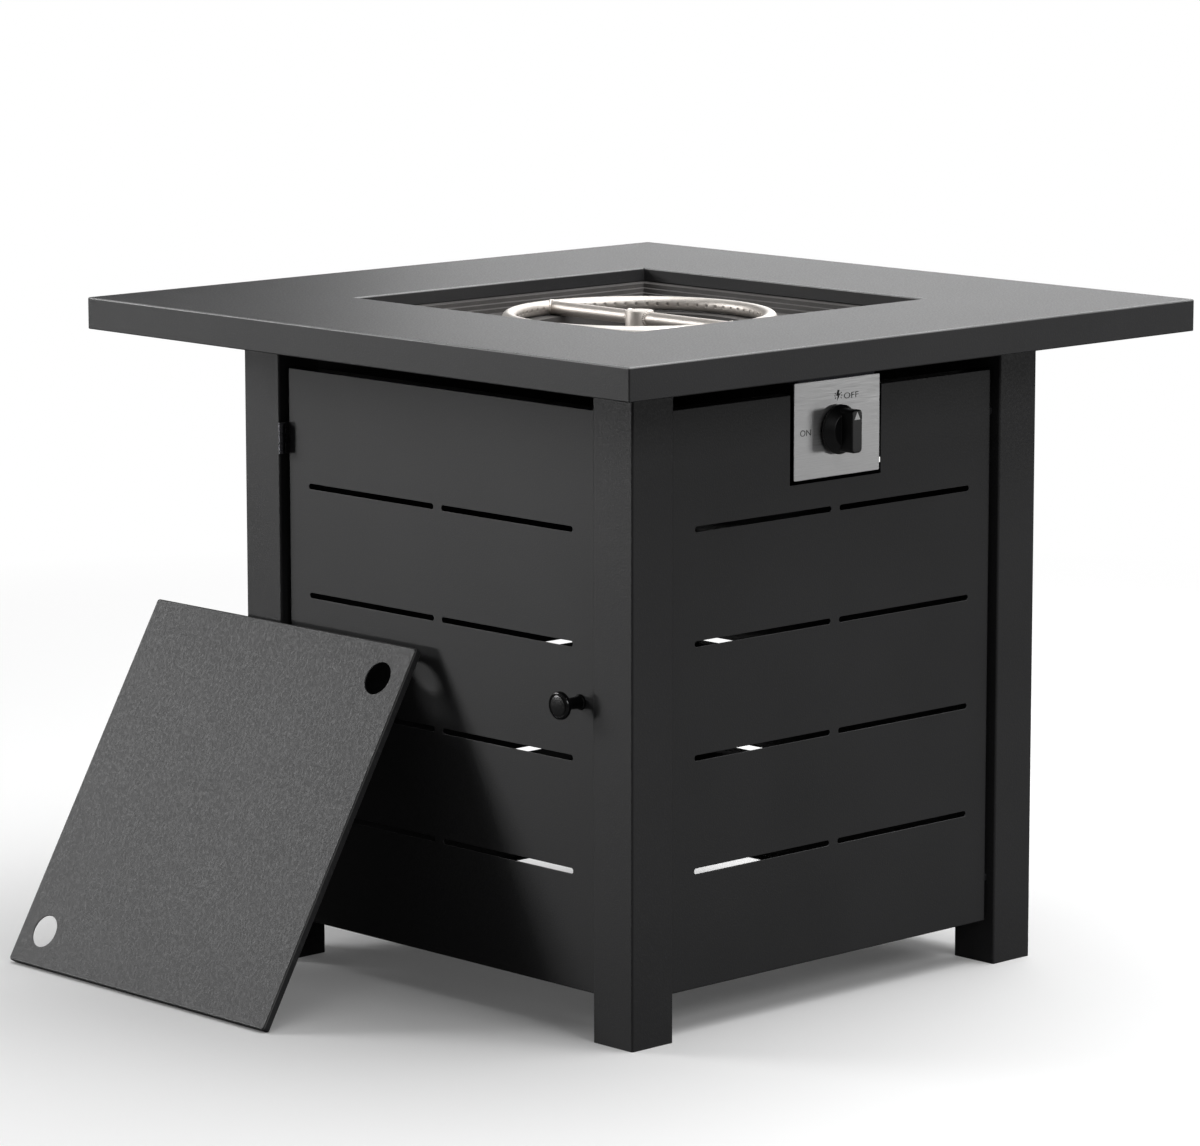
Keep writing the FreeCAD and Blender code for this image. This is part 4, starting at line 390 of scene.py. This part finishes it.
def softenedCopy(node, material, edgeMaterial, width):
    # the CAD node's own shape, welded, its flat faces whole again and its edges slightly rounded
    mesh = frame["nodes"][node].data.copy()
    mesh.materials.clear()
    work = bmesh.new()
    work.from_mesh(mesh)
    bmesh.ops.remove_doubles(work, verts=work.verts, dist=weldGap)
    flatAngle = math.radians(rounding["flatAngle"])
    bmesh.ops.dissolve_limit(work, angle_limit=flatAngle, verts=work.verts, edges=work.edges)
    if node in tiltedNodes:
        bmesh.ops.triangulate(work, faces=[face for face in work.faces if len(face.verts) > 4])
    wiped = node in wipedNodes
    for face in work.faces:
        face.material_index = wipedFace(face.normal.z) if wiped else 0
    work.to_mesh(mesh)
    work.free()
    materials = [material, edgeMaterial or material]
    if wiped:
        materials.append(finishes["frame_steel"])  # on upright faces, which cloths leave alone
    piece = finishPiece(plainName(node), mesh, materials, bodyOf[node], (node,))
    bevel = piece.modifiers.new("softEdge", "BEVEL")
    bevel.width = width
    bevel.segments = rounding["segments"]
    bevel.limit_method = "ANGLE"
    bevel.angle_limit = math.radians(rounding["sharpAngle"])
    bevel.use_clamp_overlap = False
    bevel.harden_normals = True
    bevel.material = 0 if wiped else 1
    flat = piece.modifiers.new("flatFaces", "WEIGHTED_NORMAL")
    flat.keep_sharp = True
    flat.weight = 100
    return piece


def looseParts(node):
    # the separate solids of a node, as arrays of their points, in the mesh's own order
    work = bmesh.new()
    work.from_mesh(frame["nodes"][node].data)
    bmesh.ops.remove_doubles(work, verts=work.verts, dist=weldGap)
    seen, parts = set(), []
    for start in work.verts:
        if start in seen:
            continue
        seen.add(start)
        reached = [start]
        for vert in reached:
            for edge in vert.link_edges:
                other = edge.other_vert(vert)
                if other not in seen:
                    seen.add(other)
                    reached.append(other)
        parts.append(np.array([vert.co[:] for vert in reached]))
    work.free()
    return parts


# Screws, bolts, studs and nuts

# the head's radius is headShare of the plain solid's; the second row is shares of that radius, the third
# of the head's height and the fourth of the shank's radius
screwLook = {"headShare": 0.93, "columns": 48, "headRings": 13,
             "recessWidth": 0.13, "recessLength": 0.62, "socket": 0.46, "flank": 0.9, "rimEdge": 0.97,
             "recessDepth": 0.5, "dome": 0.22, "rimDrop": 0.28, "shoulder": 0.45,
             "pitch": 0.36, "threadDepth": 0.12, "tip": 0.72, "underHead": 1.15,
             "leastPitch": 0.45 * mm, "tipLength": 0.4 * mm, "intoHead": 0.2 * mm}


def threadRadius(radius, along, columns, pitch, depth):
    # radius under a screw's crest: r - depth * triangle wave of (turn - height / pitch)
    turn = np.arange(columns) / columns
    phase = (turn[None, :] - np.asarray(along)[:, None] / pitch) % 1
    return radius - depth * np.abs(2 * phase - 1)


def screwShape(points, sixSided):
    # pan head or hexagon-socket head with a threaded shank, sized and laid as the plain solid is
    look, columns = screwLook, screwLook["columns"]
    low, high = points.min(0), points.max(0)
    centre, size = (low + high) / 2, high - low
    axis = int(np.argmin([abs(size[(k + 1) % 3] - size[(k + 2) % 3]) / size.max() for k in range(3)]))
    across = [k for k in range(3) if k != axis]
    reach = np.linalg.norm((points - centre)[:, across], axis=1)
    height = points[:, axis]
    headIsHigh = reach[height > centre[axis]].max() > reach[height < centre[axis]].max()
    outward = np.zeros(3)
    outward[axis] = 1 if headIsHigh else -1
    level = (height - centre[axis]) * outward[axis]
    headRadius, shankRadius = reach.max() * look["headShare"], reach[level < level.min() + 0.01 * mm].max()
    top, foot = level.max(), level.min()
    seat = level[reach > shankRadius * look["underHead"]].min()
    rise = top - seat

    # head: top - dome * rise * (r / R) squared, less the recess where a point lies in it
    t = np.arange(columns) / columns * fullTurn
    r = np.linspace(0, look["flank"], look["headRings"])[:, None] * headRadius
    if sixSided:
        sunk = r * np.cos((t % (fullTurn / 6)) - fullTurn / 12) < headRadius * look["socket"]
    else:
        x, y = np.abs(r * np.cos(t)) / headRadius, np.abs(r * np.sin(t)) / headRadius
        wide, long = look["recessWidth"], look["recessLength"]
        sunk = (x < wide) & (y < long) | (y < wide) & (x < long)
    dome = top - look["dome"] * rise * (r / headRadius) ** 2 - sunk * look["recessDepth"] * rise

    rim = np.array([(look["rimEdge"] * headRadius, top - look["rimDrop"] * rise),
                    (headRadius, top - look["shoulder"] * rise), (headRadius, seat), (shankRadius, seat)])
    pitch = max(look["pitch"] * shankRadius, look["leastPitch"])
    shank = np.arange(seat - look["intoHead"], foot + look["tipLength"], -pitch / 4)[:, None]
    threads = threadRadius(shankRadius, shank[:, 0], columns, pitch, look["threadDepth"] * shankRadius)
    tip = np.array([(look["tip"] * shankRadius, foot), (0.0, foot)])

    def allRound(rings):
        return np.broadcast_to(rings, (len(rings), columns))

    radius = np.concatenate([allRound(r), allRound(rim[:, :1]), threads, allRound(tip[:, :1])])
    along = np.concatenate([dome, allRound(rim[:, 1:]), allRound(shank), allRound(tip[:, 1:])])
    shape, faces = turned(radius, along, columns)
    return placed(shape, centre, outward), faces


nutLook = {"chamfer": 0.09, "face": 0.475}  # shares of the distance across the flats


def nutShape(place, axis, acrossFlats, height, bore, columns=72):
    # r = the smaller of the hexagon (a / cos t) and a cone from the end faces, which rounds the corners
    t = np.arange(columns) / columns * fullTurn
    hexagon = acrossFlats / 2 / np.cos((t % (fullTurn / 6)) - fullTurn / 12)
    corner, chamfer = acrossFlats / math.sqrt(3), nutLook["chamfer"] * acrossFlats
    # rings from the bore's middle over the foot, the flats and the top back to the bore's middle
    levels = np.array([0, 0, 0, 0.25, 0.5, 1, -1, -0.5, -0.25, 0, 0, 0]) * chamfer
    levels[6:] += height
    levels[[0, -1]] = height / 2
    drawnIn = np.array([0, 0, 1, 0.66, 0.4, 0, 0, 0.4, 0.66, 1, 0, 0])
    cone = corner - drawnIn * (corner - acrossFlats * nutLook["face"])
    radius = np.minimum(cone[:, None], hexagon[None, :])
    radius[[0, 1, 10, 11]] = bore
    shape, faces = turned(radius, levels, columns)
    return placed(shape, place, axis), faces


def threadedRod(place, axis, radius, length, pitch, depth, bore=0.0, columns=40):
    # a rod whose radius follows a triangle wave along a helix, narrower at both ends, bored if it carries gas
    ringsPerPitch, fade, narrower = 6, 1.2 * depth, 0.6 * depth
    along = np.linspace(0, length, int(length / pitch * ringsPerPitch) + 2)
    threads = threadRadius(radius, along, columns, pitch, depth)
    ends = np.clip(np.minimum(along, length - along) / fade, 0, 1)
    threads = threads - narrower * (1 - ends[:, None])
    inner = np.full((1, columns), bore)
    rings, levels = [inner, threads, inner], [[0], along, [length]]
    if bore:
        rings.append(inner)
        levels.append([0])
    shape, faces = turned(np.concatenate(rings), np.concatenate(levels), columns)
    return placed(shape, place, axis), faces


for node in ("bowl_screws", "bracket_screws", "panel_screws", "valve_screws", "hinge_screws_leg",
             "hinge_screws_door", "catch_screws", "door_pull_screw", "rail_bolts"):
    sixSided = node == "rail_bolts"
    standIn(node, joined([screwShape(points, sixSided) for points in looseParts(node)]), sharp=30)

# place, axis, then millimetres: across the flats, height, bore's radius
nuts = {"burner_locknut": [((0, 0, 548.98 * mm), (0, 0, 1), 30, 6, 10.05)],
        "pipe_nuts": [((0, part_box("pipe_nuts")[0].y, 516 * mm), (0, 1, 0), 17, 10, 4.05),
                      ((0, 0, 494.98 * mm), (0, 0, 1), 17, 10, 4.05)],
        "electrode_nut": [((0, middleOf("electrode_nut")[1], 550.98 * mm), (0, 0, 1), 14, 4, 5.05)]}
for node, sizes in nuts.items():
    shapes = [nutShape(place, axis, acrossFlats * mm, height * mm, bore * mm)
              for place, axis, acrossFlats, height, bore in sizes]
    standIn(node, joined(shapes), sharp=30)

stud = {"radius": 2.5 * mm, "pitch": 0.8 * mm, "depth": 0.35 * mm}
studs = []
for points in looseParts("tabletop_studs"):
    foot = (points[:, 0].mean(), points[:, 1].mean(), points[:, 2].min())
    studs.append(threadedRod(foot, (0, 0, 1), stud["radius"], np.ptp(points[:, 2]), stud["pitch"],
                             stud["depth"], columns=24))
standIn("tabletop_studs", joined(studs), sharp=60)
print("fasteners ready:", len(replaced))


# Burner

# mouth lists shares of the port's radius and depths; barShare and barInside are shares of the tube's radius
burner = {"ring": 119 * mm, "tube": 6.5 * mm, "height": 592.98 * mm, "rows": 27, "barShare": 0.985,
          "barInside": 0.35, "ports": 72, "port": 1.6 * mm, "portDepth": 4.5 * mm, "tile": 2.5 * mm,
          "mouth": [(1.2, 0.0), (1.05, 0.06 * mm), (1.0, 0.25 * mm)],
          "hub": 13 * mm, "hubTop": 599.98 * mm, "hubFace": 9.6 * mm, "floor": 556.18 * mm,
          "nipple": 10 * mm, "nippleFoot": 534.18 * mm, "bore": 7 * mm, "threadPitch": 1.8 * mm,
          "threadDepth": 0.9 * mm, "bead": 1.3 * mm, "ringBeadShare": 0.7}


def portedRing(size):
    # torus (R + r cos v)(cos u, sin u), z = r sin v; on its inner side each step of u holds one round port
    steps = 4  # columns of the torus to a port, as many as its square tile has segments on a side
    halfTile = size["tile"] / size["tube"]  # half the height of a port's tile, as an angle of v
    rows = np.linspace(math.pi + halfTile, fullTurn + math.pi - halfTile, size["rows"])
    u = np.arange(size["ports"] * steps) / (size["ports"] * steps) * fullTurn

    def torus(v, around, depth=0.0):
        v, around = np.broadcast_arrays(v, around)
        reach = size["ring"] + (size["tube"] - depth) * np.cos(v)
        return np.stack([reach * np.cos(around), reach * np.sin(around),
                         size["height"] + (size["tube"] - depth) * np.sin(v)], -1)

    v, around = np.meshgrid(rows, u, indexing="ij")
    parts = [(torus(v, around), gridFaces(len(rows), len(u)))]
    stepAngle = fullTurn / size["ports"]
    side, one = np.arange(steps) / steps * 2 - 1, np.ones(steps)
    sides = ((side, -one), (one, side), (-side, one), (-one, -side))
    square = np.concatenate([np.stack(pair, -1) for pair in sides])
    angle = np.arctan2(square[:, 1], square[:, 0])
    circle = np.stack([np.cos(angle), np.sin(angle)], -1)
    inner = size["ring"] - size["tube"]
    # each tile goes from its square to the port's flared mouth and down into its bore
    rings = [(square * [stepAngle / 2, halfTile], 0.0)]
    for share, depth in size["mouth"] + [(1.0, size["portDepth"])]:
        rings.append((circle * size["port"] * share / [inner, size["tube"]], depth))
    centres = ((np.arange(size["ports"]) + 0.5) * stepAngle)[:, None]
    tiles = np.stack([torus(math.pi + offsets[None, :, 1], centres + offsets[None, :, 0], depth)
                      for offsets, depth in rings], 1)  # port, ring of points, point
    parts += [(tile[:4], gridFaces(4, len(square))) for tile in tiles]
    bores = [(tile[3:], gridFaces(2, len(square))) for tile in tiles]
    return joined(parts), joined(bores)


def crossbarShape(size, rows=40, columns=32):
    # x = r cos t, z = r sin t, from one side of the ring to the other, its ends hidden in the ring's tube
    ends = size["ring"] - size["barInside"] * size["tube"]
    along = np.linspace(-ends, ends, rows)[:, None]
    t = (np.arange(columns) / columns * fullTurn)[None, :]
    radius = size["barShare"] * size["tube"]
    x, z = radius * np.cos(t), size["height"] + radius * np.sin(t)
    return np.stack(np.broadcast_arrays(x, along, z), -1).reshape(-1, 3), gridFaces(rows, columns)


def weldBead(path, radius, ripple=0.18, count=26, columns=10):
    # a bead carried along a closed seam, its radius swelling count times like the ripples of a weld
    shape, faces = tubeAlong(path, radius, columns, closed=True)
    centre = np.repeat(np.asarray(path), columns, 0)
    wave = 1 + ripple * np.sin(np.arange(len(path)) / len(path) * fullTurn * count)
    return centre + (shape - centre) * np.repeat(wave, columns)[:, None], faces


def ringSeam(size, side):
    # where the crossbar meets the ring: x = r cos t, z = r sin t, y = R - r |cos t| to the power 0.9
    t = np.arange(96) / 96 * fullTurn
    y = side * (size["ring"] - size["tube"] * np.abs(np.cos(t)) ** 0.9)
    return np.stack([size["tube"] * np.cos(t), y, size["height"] + size["tube"] * np.sin(t)], -1)


def hubSeam(size, side):
    # where the crossbar meets the hub: y = sqrt(hub squared - x squared)
    t = np.arange(96) / 96 * fullTurn
    x = size["tube"] * np.cos(t)
    y = side * np.sqrt(size["hub"] ** 2 - x ** 2)
    return np.stack([x, y, size["height"] + size["tube"] * np.sin(t)], -1)


def hubShape(size):
    # a turned boss: flat top, rounded shoulder, straight side, bevelled foot
    side, top, floor = size["hub"], size["hubTop"], size["floor"]
    shoulder = [(side - inward * mm, top - down * mm) for inward, down in ((0.8, 0), (0.2, 0.28), (0, 0.88))]
    foot = [(side - inward * mm, floor + up * mm) for inward, up in ((0, 0.72), (0.4, 0))]
    profile = np.array([(0, top)] + shoulder + foot + [(size["hubFace"], floor)])
    return turned(profile[:, 0], profile[:, 1])


nippleLength = burner["floor"] - burner["nippleFoot"]
nippleShape = threadedRod((0, 0, burner["nippleFoot"]), (0, 0, 1), burner["nipple"], nippleLength,
                          burner["threadPitch"], burner["threadDepth"], burner["bore"], columns=56)
beads = []
for side in (-1, 1):
    beads.append(weldBead(ringSeam(burner, side), burner["bead"] * burner["ringBeadShare"]))
    beads.append(weldBead(hubSeam(burner, side), burner["bead"]))
ringShape, portShape = portedRing(burner)
tint = finishes["stainless"]
# the ports' bores, closed just under their mouths, are painted shade
burnerPieces = {"burnerRing": (ringShape, tint, 50), "burnerPorts": (portShape, sootedSteel, 60),
                "burnerCrossbar": (crossbarShape(burner), tint, 50),
                "burnerHub": (hubShape(burner), tint, 30), "burnerNipple": (nippleShape, tint, 60),
                "burnerWelds": (joined(beads), tint, 60)}
for name, (shape, material, sharp) in burnerPieces.items():
    makePiece(name, shape, material, "table", ("burner_ring",), sharp)
print("burner ready")


# Feed pipe, spring and pull

pipe = {"radius": 4 * mm, "bend": 18 * mm, "low": 470 * mm, "axis": 516 * mm, "drop": -116 * mm,
        "top": 509.98 * mm}


def pipePath(size, start):
    # straight runs joined by quarter circles of the bend's radius, in the plane x = 0
    bend, low, drop, axis = size["bend"], size["low"], size["drop"], size["axis"]
    t = np.linspace(0, math.pi / 2, 14)
    runs = [np.array([[start, axis]]),
            np.stack([drop - bend + bend * np.sin(t), axis - bend + bend * np.cos(t)], -1),
            np.stack([drop + bend - bend * np.cos(t), low + bend - bend * np.sin(t)], -1),
            np.stack([-bend + bend * np.sin(t), low + bend - bend * np.cos(t)], -1),
            np.array([[0, size["top"]]])]
    points = np.concatenate(runs)
    return np.concatenate([np.zeros((len(points), 1)), points], 1)


standIn("feed_pipe", tubeAlong(pipePath(pipe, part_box("feed_pipe")[0].y), pipe["radius"]), sharp=50)

spring = {"mean": 5 * mm, "wire": 0.5 * mm, "turns": 4, "axis": 516 * mm, "closed": 0.08}


def springShape(size, front, back):
    # helix x = R cos a, z = R sin a, its pitch closed up over a small share of its length at both ends
    share = np.linspace(0, 1, 200)
    angle = share * fullTurn * size["turns"]
    eased = np.clip(share * (1 + 2 * size["closed"]) - size["closed"], 0, 1)
    y = front + size["wire"] + (back - front - 2 * size["wire"]) * eased
    path = np.stack([size["mean"] * np.cos(angle), y, size["axis"] + size["mean"] * np.sin(angle)], -1)
    return tubeAlong(path, size["wire"], 12)


springLow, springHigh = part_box("valve_spring")
coil = standIn("valve_spring", springShape(spring, springLow.y, springHigh.y), sharp=60)
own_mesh(coil)

# millimetres; foot lists radius beyond the neck and height, groove distance inside the rim and depth
pull = {"head": 12.5, "neck": 6.0, "neckStart": 1.8, "waist": 5.3, "length": 27.0, "thick": 6.0, "rim": 2.0,
        "edge": 2.0, "edgeInside": 0.1, "dome": 0.33, "domeInside": 0.05, "flare": 2.88, "flareStart": 0.7,
        "foot": [(0.9, 0), (1.0, 0.6), (0.2, 1.6)],
        "groove": [(0, 0.08), (0.25, 0.5), (0.55, 0.9), (0.95, 0.9), (1.15, 0.5), (1.3, 0.38)]}


def pullProfile(size):
    # flared foot, waisted neck, round-shouldered head, and a face a little domed inside a grooved rim
    foot = np.array([(-size["neck"], 0)] + size["foot"]) + [size["neck"], 0]
    t = np.linspace(0, 1, 14)
    flare = (np.clip(t - size["flareStart"], 0, 1) / (1 - size["flareStart"])) ** 1.5
    neck = size["waist"] + (size["neck"] - size["waist"]) * (2 * t - 1) ** 2 + size["flare"] * flare
    neckHeight = size["neckStart"] + t * (size["length"] - size["thick"] - size["neckStart"])
    a = np.linspace(-math.pi / 2, math.pi / 2, 12)
    shoulder = size["thick"] / 2
    head = size["head"] - size["edge"] + size["edge"] * np.cos(a)
    headHeight = size["length"] - shoulder + (shoulder - size["edgeInside"]) * np.sin(a)
    groove = np.array([size["head"] - size["rim"], size["length"]]) - np.array(size["groove"])
    share = np.linspace(1, 0, 10)[1:]
    face = groove[-1, 0] * share
    faceHeight = size["length"] - size["domeInside"] - size["dome"] * share ** 2
    radius = np.concatenate([foot[:, 0], neck, head, groove[:, 0], face])
    height = np.concatenate([foot[:, 1], neckHeight, headHeight, groove[:, 1], faceHeight])
    return radius * mm, height * mm


pullPoints, pullFaces = turned(*pullProfile(pull), 96)
pullAcross, pullMiddle = middleOf("door_pull")[1:]
pullPoints = placed(pullPoints, (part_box("door_pull")[1].x, pullAcross, pullMiddle), (-1, 0, 0))
standIn("door_pull", (pullPoints, pullFaces), sharp=50)
print("pipe, spring and pull ready")


# Inlet with its hose thread

inlet = {"hexagon": 19 * mm, "hexHigh": 502 * mm, "hexHeight": 8 * mm, "thread": 7.94 * mm,
         "pitch": 1.41 * mm, "depth": 0.7 * mm, "bore": 3.5 * mm, "overlap": 0.3 * mm}
inletFoot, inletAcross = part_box("inlet_fitting")[0].z, middleOf("inlet_fitting")[1]
hexLow = inlet["hexHigh"] - inlet["hexHeight"]
threadLength = hexLow - inletFoot + inlet["overlap"]
inletParts = [nutShape((0, inletAcross, hexLow), (0, 0, 1), inlet["hexagon"], inlet["hexHeight"],
                       inlet["bore"]),
              threadedRod((0, inletAcross, inletFoot), (0, 0, 1), inlet["thread"], threadLength,
                          inlet["pitch"], inlet["depth"], inlet["bore"])]
standIn("inlet_fitting", joined(inletParts), sharp=40)


# Everything else keeps the CAD's shape, with softened edges

plainEdge = 0.3 * mm
edgeWidths = {"tabletop": 0.9 * mm, "lid": 0.45 * mm, "control_knob": 0.4 * mm, "leg_plugs": 0.6 * mm,
              "gas_valve": 0.6 * mm, "piezo_igniter": 0.5 * mm, "magnetic_catch": 0.6 * mm}
ownFinish = {"control_plate": brushed, "control_bracket": blackZinc, "control_knob": knobFinish}
for node in sorted(frame["nodes"]):
    if node not in replaced:
        onHinge = node.startswith(("hinge_leaf", "hinge_pin"))
        material = darkNickel if onHinge else ownFinish.get(node, finishes[slotOf[node]])
        softenedCopy(node, material, wornEdges.get(slotOf[node]), edgeWidths.get(node, plainEdge))
print("softened pieces ready:", len(replaced))


# Words on the plate and the pointer on the knob

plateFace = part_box("control_plate")[0].y
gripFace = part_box("control_knob")[0].y
ink = {"thick": 0.06 * mm}
# millimetres: height, width, middle across and up
words = {"wordOff": ("OFF", 5.4, 18.5, (17.6, 544.4)), "wordOn": ("ON", 5.4, 13.5, (-39.8, 516.0))}
sparkSign = {"place": (1.2, 541.0), "raysFrom": (0, 4.3), "rayAngles": (150, 180, 210, 330, 0, 30),
             "rayStart": 3.5, "rayEnd": 5.0, "halfWidth": 0.4,
             "zigzag": [(-1.2, 9.2), (1.7, 9.2), (0.6, 6.1), (2.8, 6.1), (-1.7, -0.6), (-0.6, 4.2),
                        (-2.7, 4.2)]}
arrow = {"outline": [(-3.6, -3.3), (3.6, -3.3), (0, 3.6)], "place": (0, 529.8)}


def printedWord(name, text, height, width, middle):
    # letters of a given height and width, a little proud of the plate that they are printed on
    curve = bpy.data.curves.new(name, "FONT")
    curve.body = text
    curve.align_x, curve.align_y = "CENTER", "CENTER"
    curve.extrude = ink["thick"] / 2 / height
    curve.resolution_u = 6
    letters = bpy.data.objects.new(name + "Letters", curve)
    bpy.context.scene.collection.objects.link(letters)
    bpy.context.view_layer.update()
    evaluated = letters.evaluated_get(bpy.context.evaluated_depsgraph_get())
    mesh = bpy.data.meshes.new_from_object(evaluated)
    bpy.data.objects.remove(letters)
    points = np.empty(len(mesh.vertices) * 3)
    mesh.vertices.foreach_get("co", points)
    points = points.reshape(-1, 3)
    low, high = points.min(0), points.max(0)
    points = (points - (low + high) / 2) / (high - low)
    upright = np.stack([middle[0] + points[:, 0] * width,
                        plateFace - ink["thick"] / 2 - points[:, 2] * ink["thick"],
                        middle[1] + points[:, 1] * height], -1)
    mesh.vertices.foreach_set("co", upright.ravel())
    mesh.name = name
    return finishPiece(name, mesh, [blackInk], "table")


def flatPrism(outline, place, front):
    # an outline in x and z, in millimetres, moved to its place and given the ink's thickness
    flat = (np.array(outline) + place) * mm
    sides = [np.insert(flat, 1, depth, axis=1) for depth in (front - ink["thick"], front)]
    return np.concatenate(sides), gridFaces(2, len(flat))


for name, (text, height, width, middle) in words.items():
    printedWord(name, text, height * mm, width * mm, np.array(middle) * mm)
strokes = [flatPrism(sparkSign["zigzag"], sparkSign["place"], plateFace)]
for angle in sparkSign["rayAngles"]:
    t = math.radians(angle)
    along = np.array([math.cos(t), math.sin(t)])
    over = np.array([-math.sin(t), math.cos(t)]) * sparkSign["halfWidth"]
    start, end = along * sparkSign["rayStart"], along * sparkSign["rayEnd"]
    ray = np.array([start + over, start - over, end - over, end + over]) + sparkSign["raysFrom"]
    strokes.append(flatPrism(ray, sparkSign["place"], plateFace))
makePiece("sparkMark", joined(strokes), blackInk, "table")
pointer = flatPrism(arrow["outline"], arrow["place"], gripFace)
makePiece("knobPointer", pointer, whiteInk, "knob")
print("marks ready")


# Camera, floor and light

# metres, degrees, and the lens and sensor in millimetres
view = {"place": (-3.2781, -3.3880, 1.1435), "yaw": 46.384, "pitch": -9.461, "roll": -0.052, "lens": 156.5,
        "sensor": 36, "farthest": 100}
yaw, pitch = math.radians(view["yaw"]), math.radians(view["pitch"])
ahead = Vector((math.cos(yaw) * math.cos(pitch), math.sin(yaw) * math.cos(pitch), math.sin(pitch)))
across = ahead.cross(Vector((0, 0, 1))).normalized()
upward = across.cross(ahead)
camera = bpy.data.objects.new("camera", bpy.data.cameras.new("camera"))
camera.data.lens = view["lens"]
camera.data.sensor_width = view["sensor"]
camera.data.clip_end = view["farthest"]
turn = Matrix((across, upward, -ahead)).transposed().to_4x4()
roll = Matrix.Rotation(math.radians(view["roll"]), 4, "Z")
camera.matrix_world = Matrix.Translation(view["place"]) @ turn @ roll
bpy.context.scene.collection.objects.link(camera)
bpy.context.scene.camera = camera


def shownToCamera(tree, shading, shown):
    # the camera and glass see one shader, and everything else is lit by the other
    path = addNode(tree, "ShaderNodeLightPath").outputs
    seen = addNode(tree, "ShaderNodeMath", links={0: path["Is Camera Ray"], 1: path["Is Transmission Ray"]},
                   operation="MAXIMUM").outputs["Value"]
    return addNode(tree, "ShaderNodeMixShader", links={0: seen, 1: shading, 2: shown}).outputs["Shader"]


# The floor is white to the camera and much darker to the table, so it doesn't light the sides from below.
floorLook = {"size": 30.0, "shown": "#f6f6f6", "bounced": "#606060", "ownLight": 0.06, "fadeStart": 0.9,
             "fadeEnd": 2.4}
floorMaterial = bpy.data.materials.new("pale studio floor")
floorMaterial.use_nodes = True
tree = floorMaterial.node_tree
tree.nodes.clear()
bounced = addNode(tree, "ShaderNodeBsdfDiffuse", {"Color": linear(floorLook["bounced"])})
matt = addNode(tree, "ShaderNodeBsdfDiffuse", {"Color": linear(floorLook["shown"])})
glow = addNode(tree, "ShaderNodeEmission", {"Color": (1, 1, 1, 1), "Strength": 1.0})
place = addNode(tree, "ShaderNodeTexCoord").outputs["Object"]
reach = addNode(tree, "ShaderNodeVectorMath", links={0: place}, operation="LENGTH").outputs["Value"]
share = between(tree, reach, floorLook["ownLight"], 1.0, floorLook["fadeStart"], floorLook["fadeEnd"])
mixed = addNode(tree, "ShaderNodeMixShader", links={0: share, 1: matt.outputs[0], 2: glow.outputs[0]})
seen = shownToCamera(tree, bounced.outputs[0], mixed.outputs["Shader"])
addNode(tree, "ShaderNodeOutputMaterial", links={"Surface": seen})
half = floorLook["size"] / 2
floorMesh = bpy.data.meshes.new("floor")
floorCorners = [(-half, -half, 0), (half, -half, 0), (half, half, 0), (-half, half, 0)]
floorMesh.from_pydata(floorCorners, [], [(0, 1, 2, 3)])
floorMesh.materials.append(floorMaterial)
floor = bpy.data.objects.new("floor", floorMesh)
bpy.context.scene.collection.objects.link(floor)

fillLight = 0.12  # white light on the table from all round
world = bpy.data.worlds.new("studio")
bpy.context.scene.world = world
world.use_nodes = True
tree = world.node_tree
tree.nodes.clear()
fill = addNode(tree, "ShaderNodeBackground", {"Color": (1, 1, 1, 1), "Strength": fillLight})
white = addNode(tree, "ShaderNodeBackground", {"Color": (1, 1, 1, 1), "Strength": 1.0})
seen = shownToCamera(tree, fill.outputs[0], white.outputs[0])
addNode(tree, "ShaderNodeOutputWorld", links={"Surface": seen})

# Panels light both sides from low down, the lid, the front and the top; the top mirrors one behind it.
# ahead and side are metres along the line of sight and to its right, from the middle; aim is a height.
lamps = {"leftPanel": {"ahead": 0.0, "side": -4.6, "height": 0.2, "aim": 0.3, "size": (0.8, 0.5),
                       "power": 31},
         "rightPanel": {"ahead": 0.0, "side": 5.0, "height": 0.45, "aim": 0.4, "size": (0.8, 0.5),
                        "power": 12},
         "lidPanel": {"ahead": 0.43, "side": -2.9, "height": 1.5, "aim": 0.2, "size": (1.2, 0.9),
                      "power": 31},
         "mirrorPanel": {"ahead": 2.4, "side": 0.55, "height": 1.35, "aim": 0.6, "size": (1.85, 0.8),
                         "power": 12.6},
         "frontPanel": {"ahead": -2.6, "side": 1.9, "height": 2.0, "aim": 0.3, "size": (1.4, 1.0),
                        "power": 25},
         "overhead": {"ahead": 0.12, "side": 1.0, "height": 3.0, "aim": 0.2, "size": (3.2, 3.0),
                      "power": 116}}
forwardOnFloor = Vector((math.cos(yaw), math.sin(yaw), 0))
for name, lamp in lamps.items():
    light = bpy.data.lights.new(name, "AREA")
    light.shape = "RECTANGLE"
    light.size, light.size_y = lamp["size"]
    light.energy = lamp["power"]
    holder = bpy.data.objects.new(name, light)
    spot = forwardOnFloor * lamp["ahead"] + across * lamp["side"]
    spot.z = lamp["height"]
    holder.location = spot
    holder.rotation_euler = (Vector((0, 0, lamp["aim"])) - spot).to_track_quat("-Z", "Y").to_euler()
    holder.visible_camera = False
    bpy.context.scene.collection.objects.link(holder)

bpy.context.scene.view_settings.view_transform = "Standard"
print("studio ready")
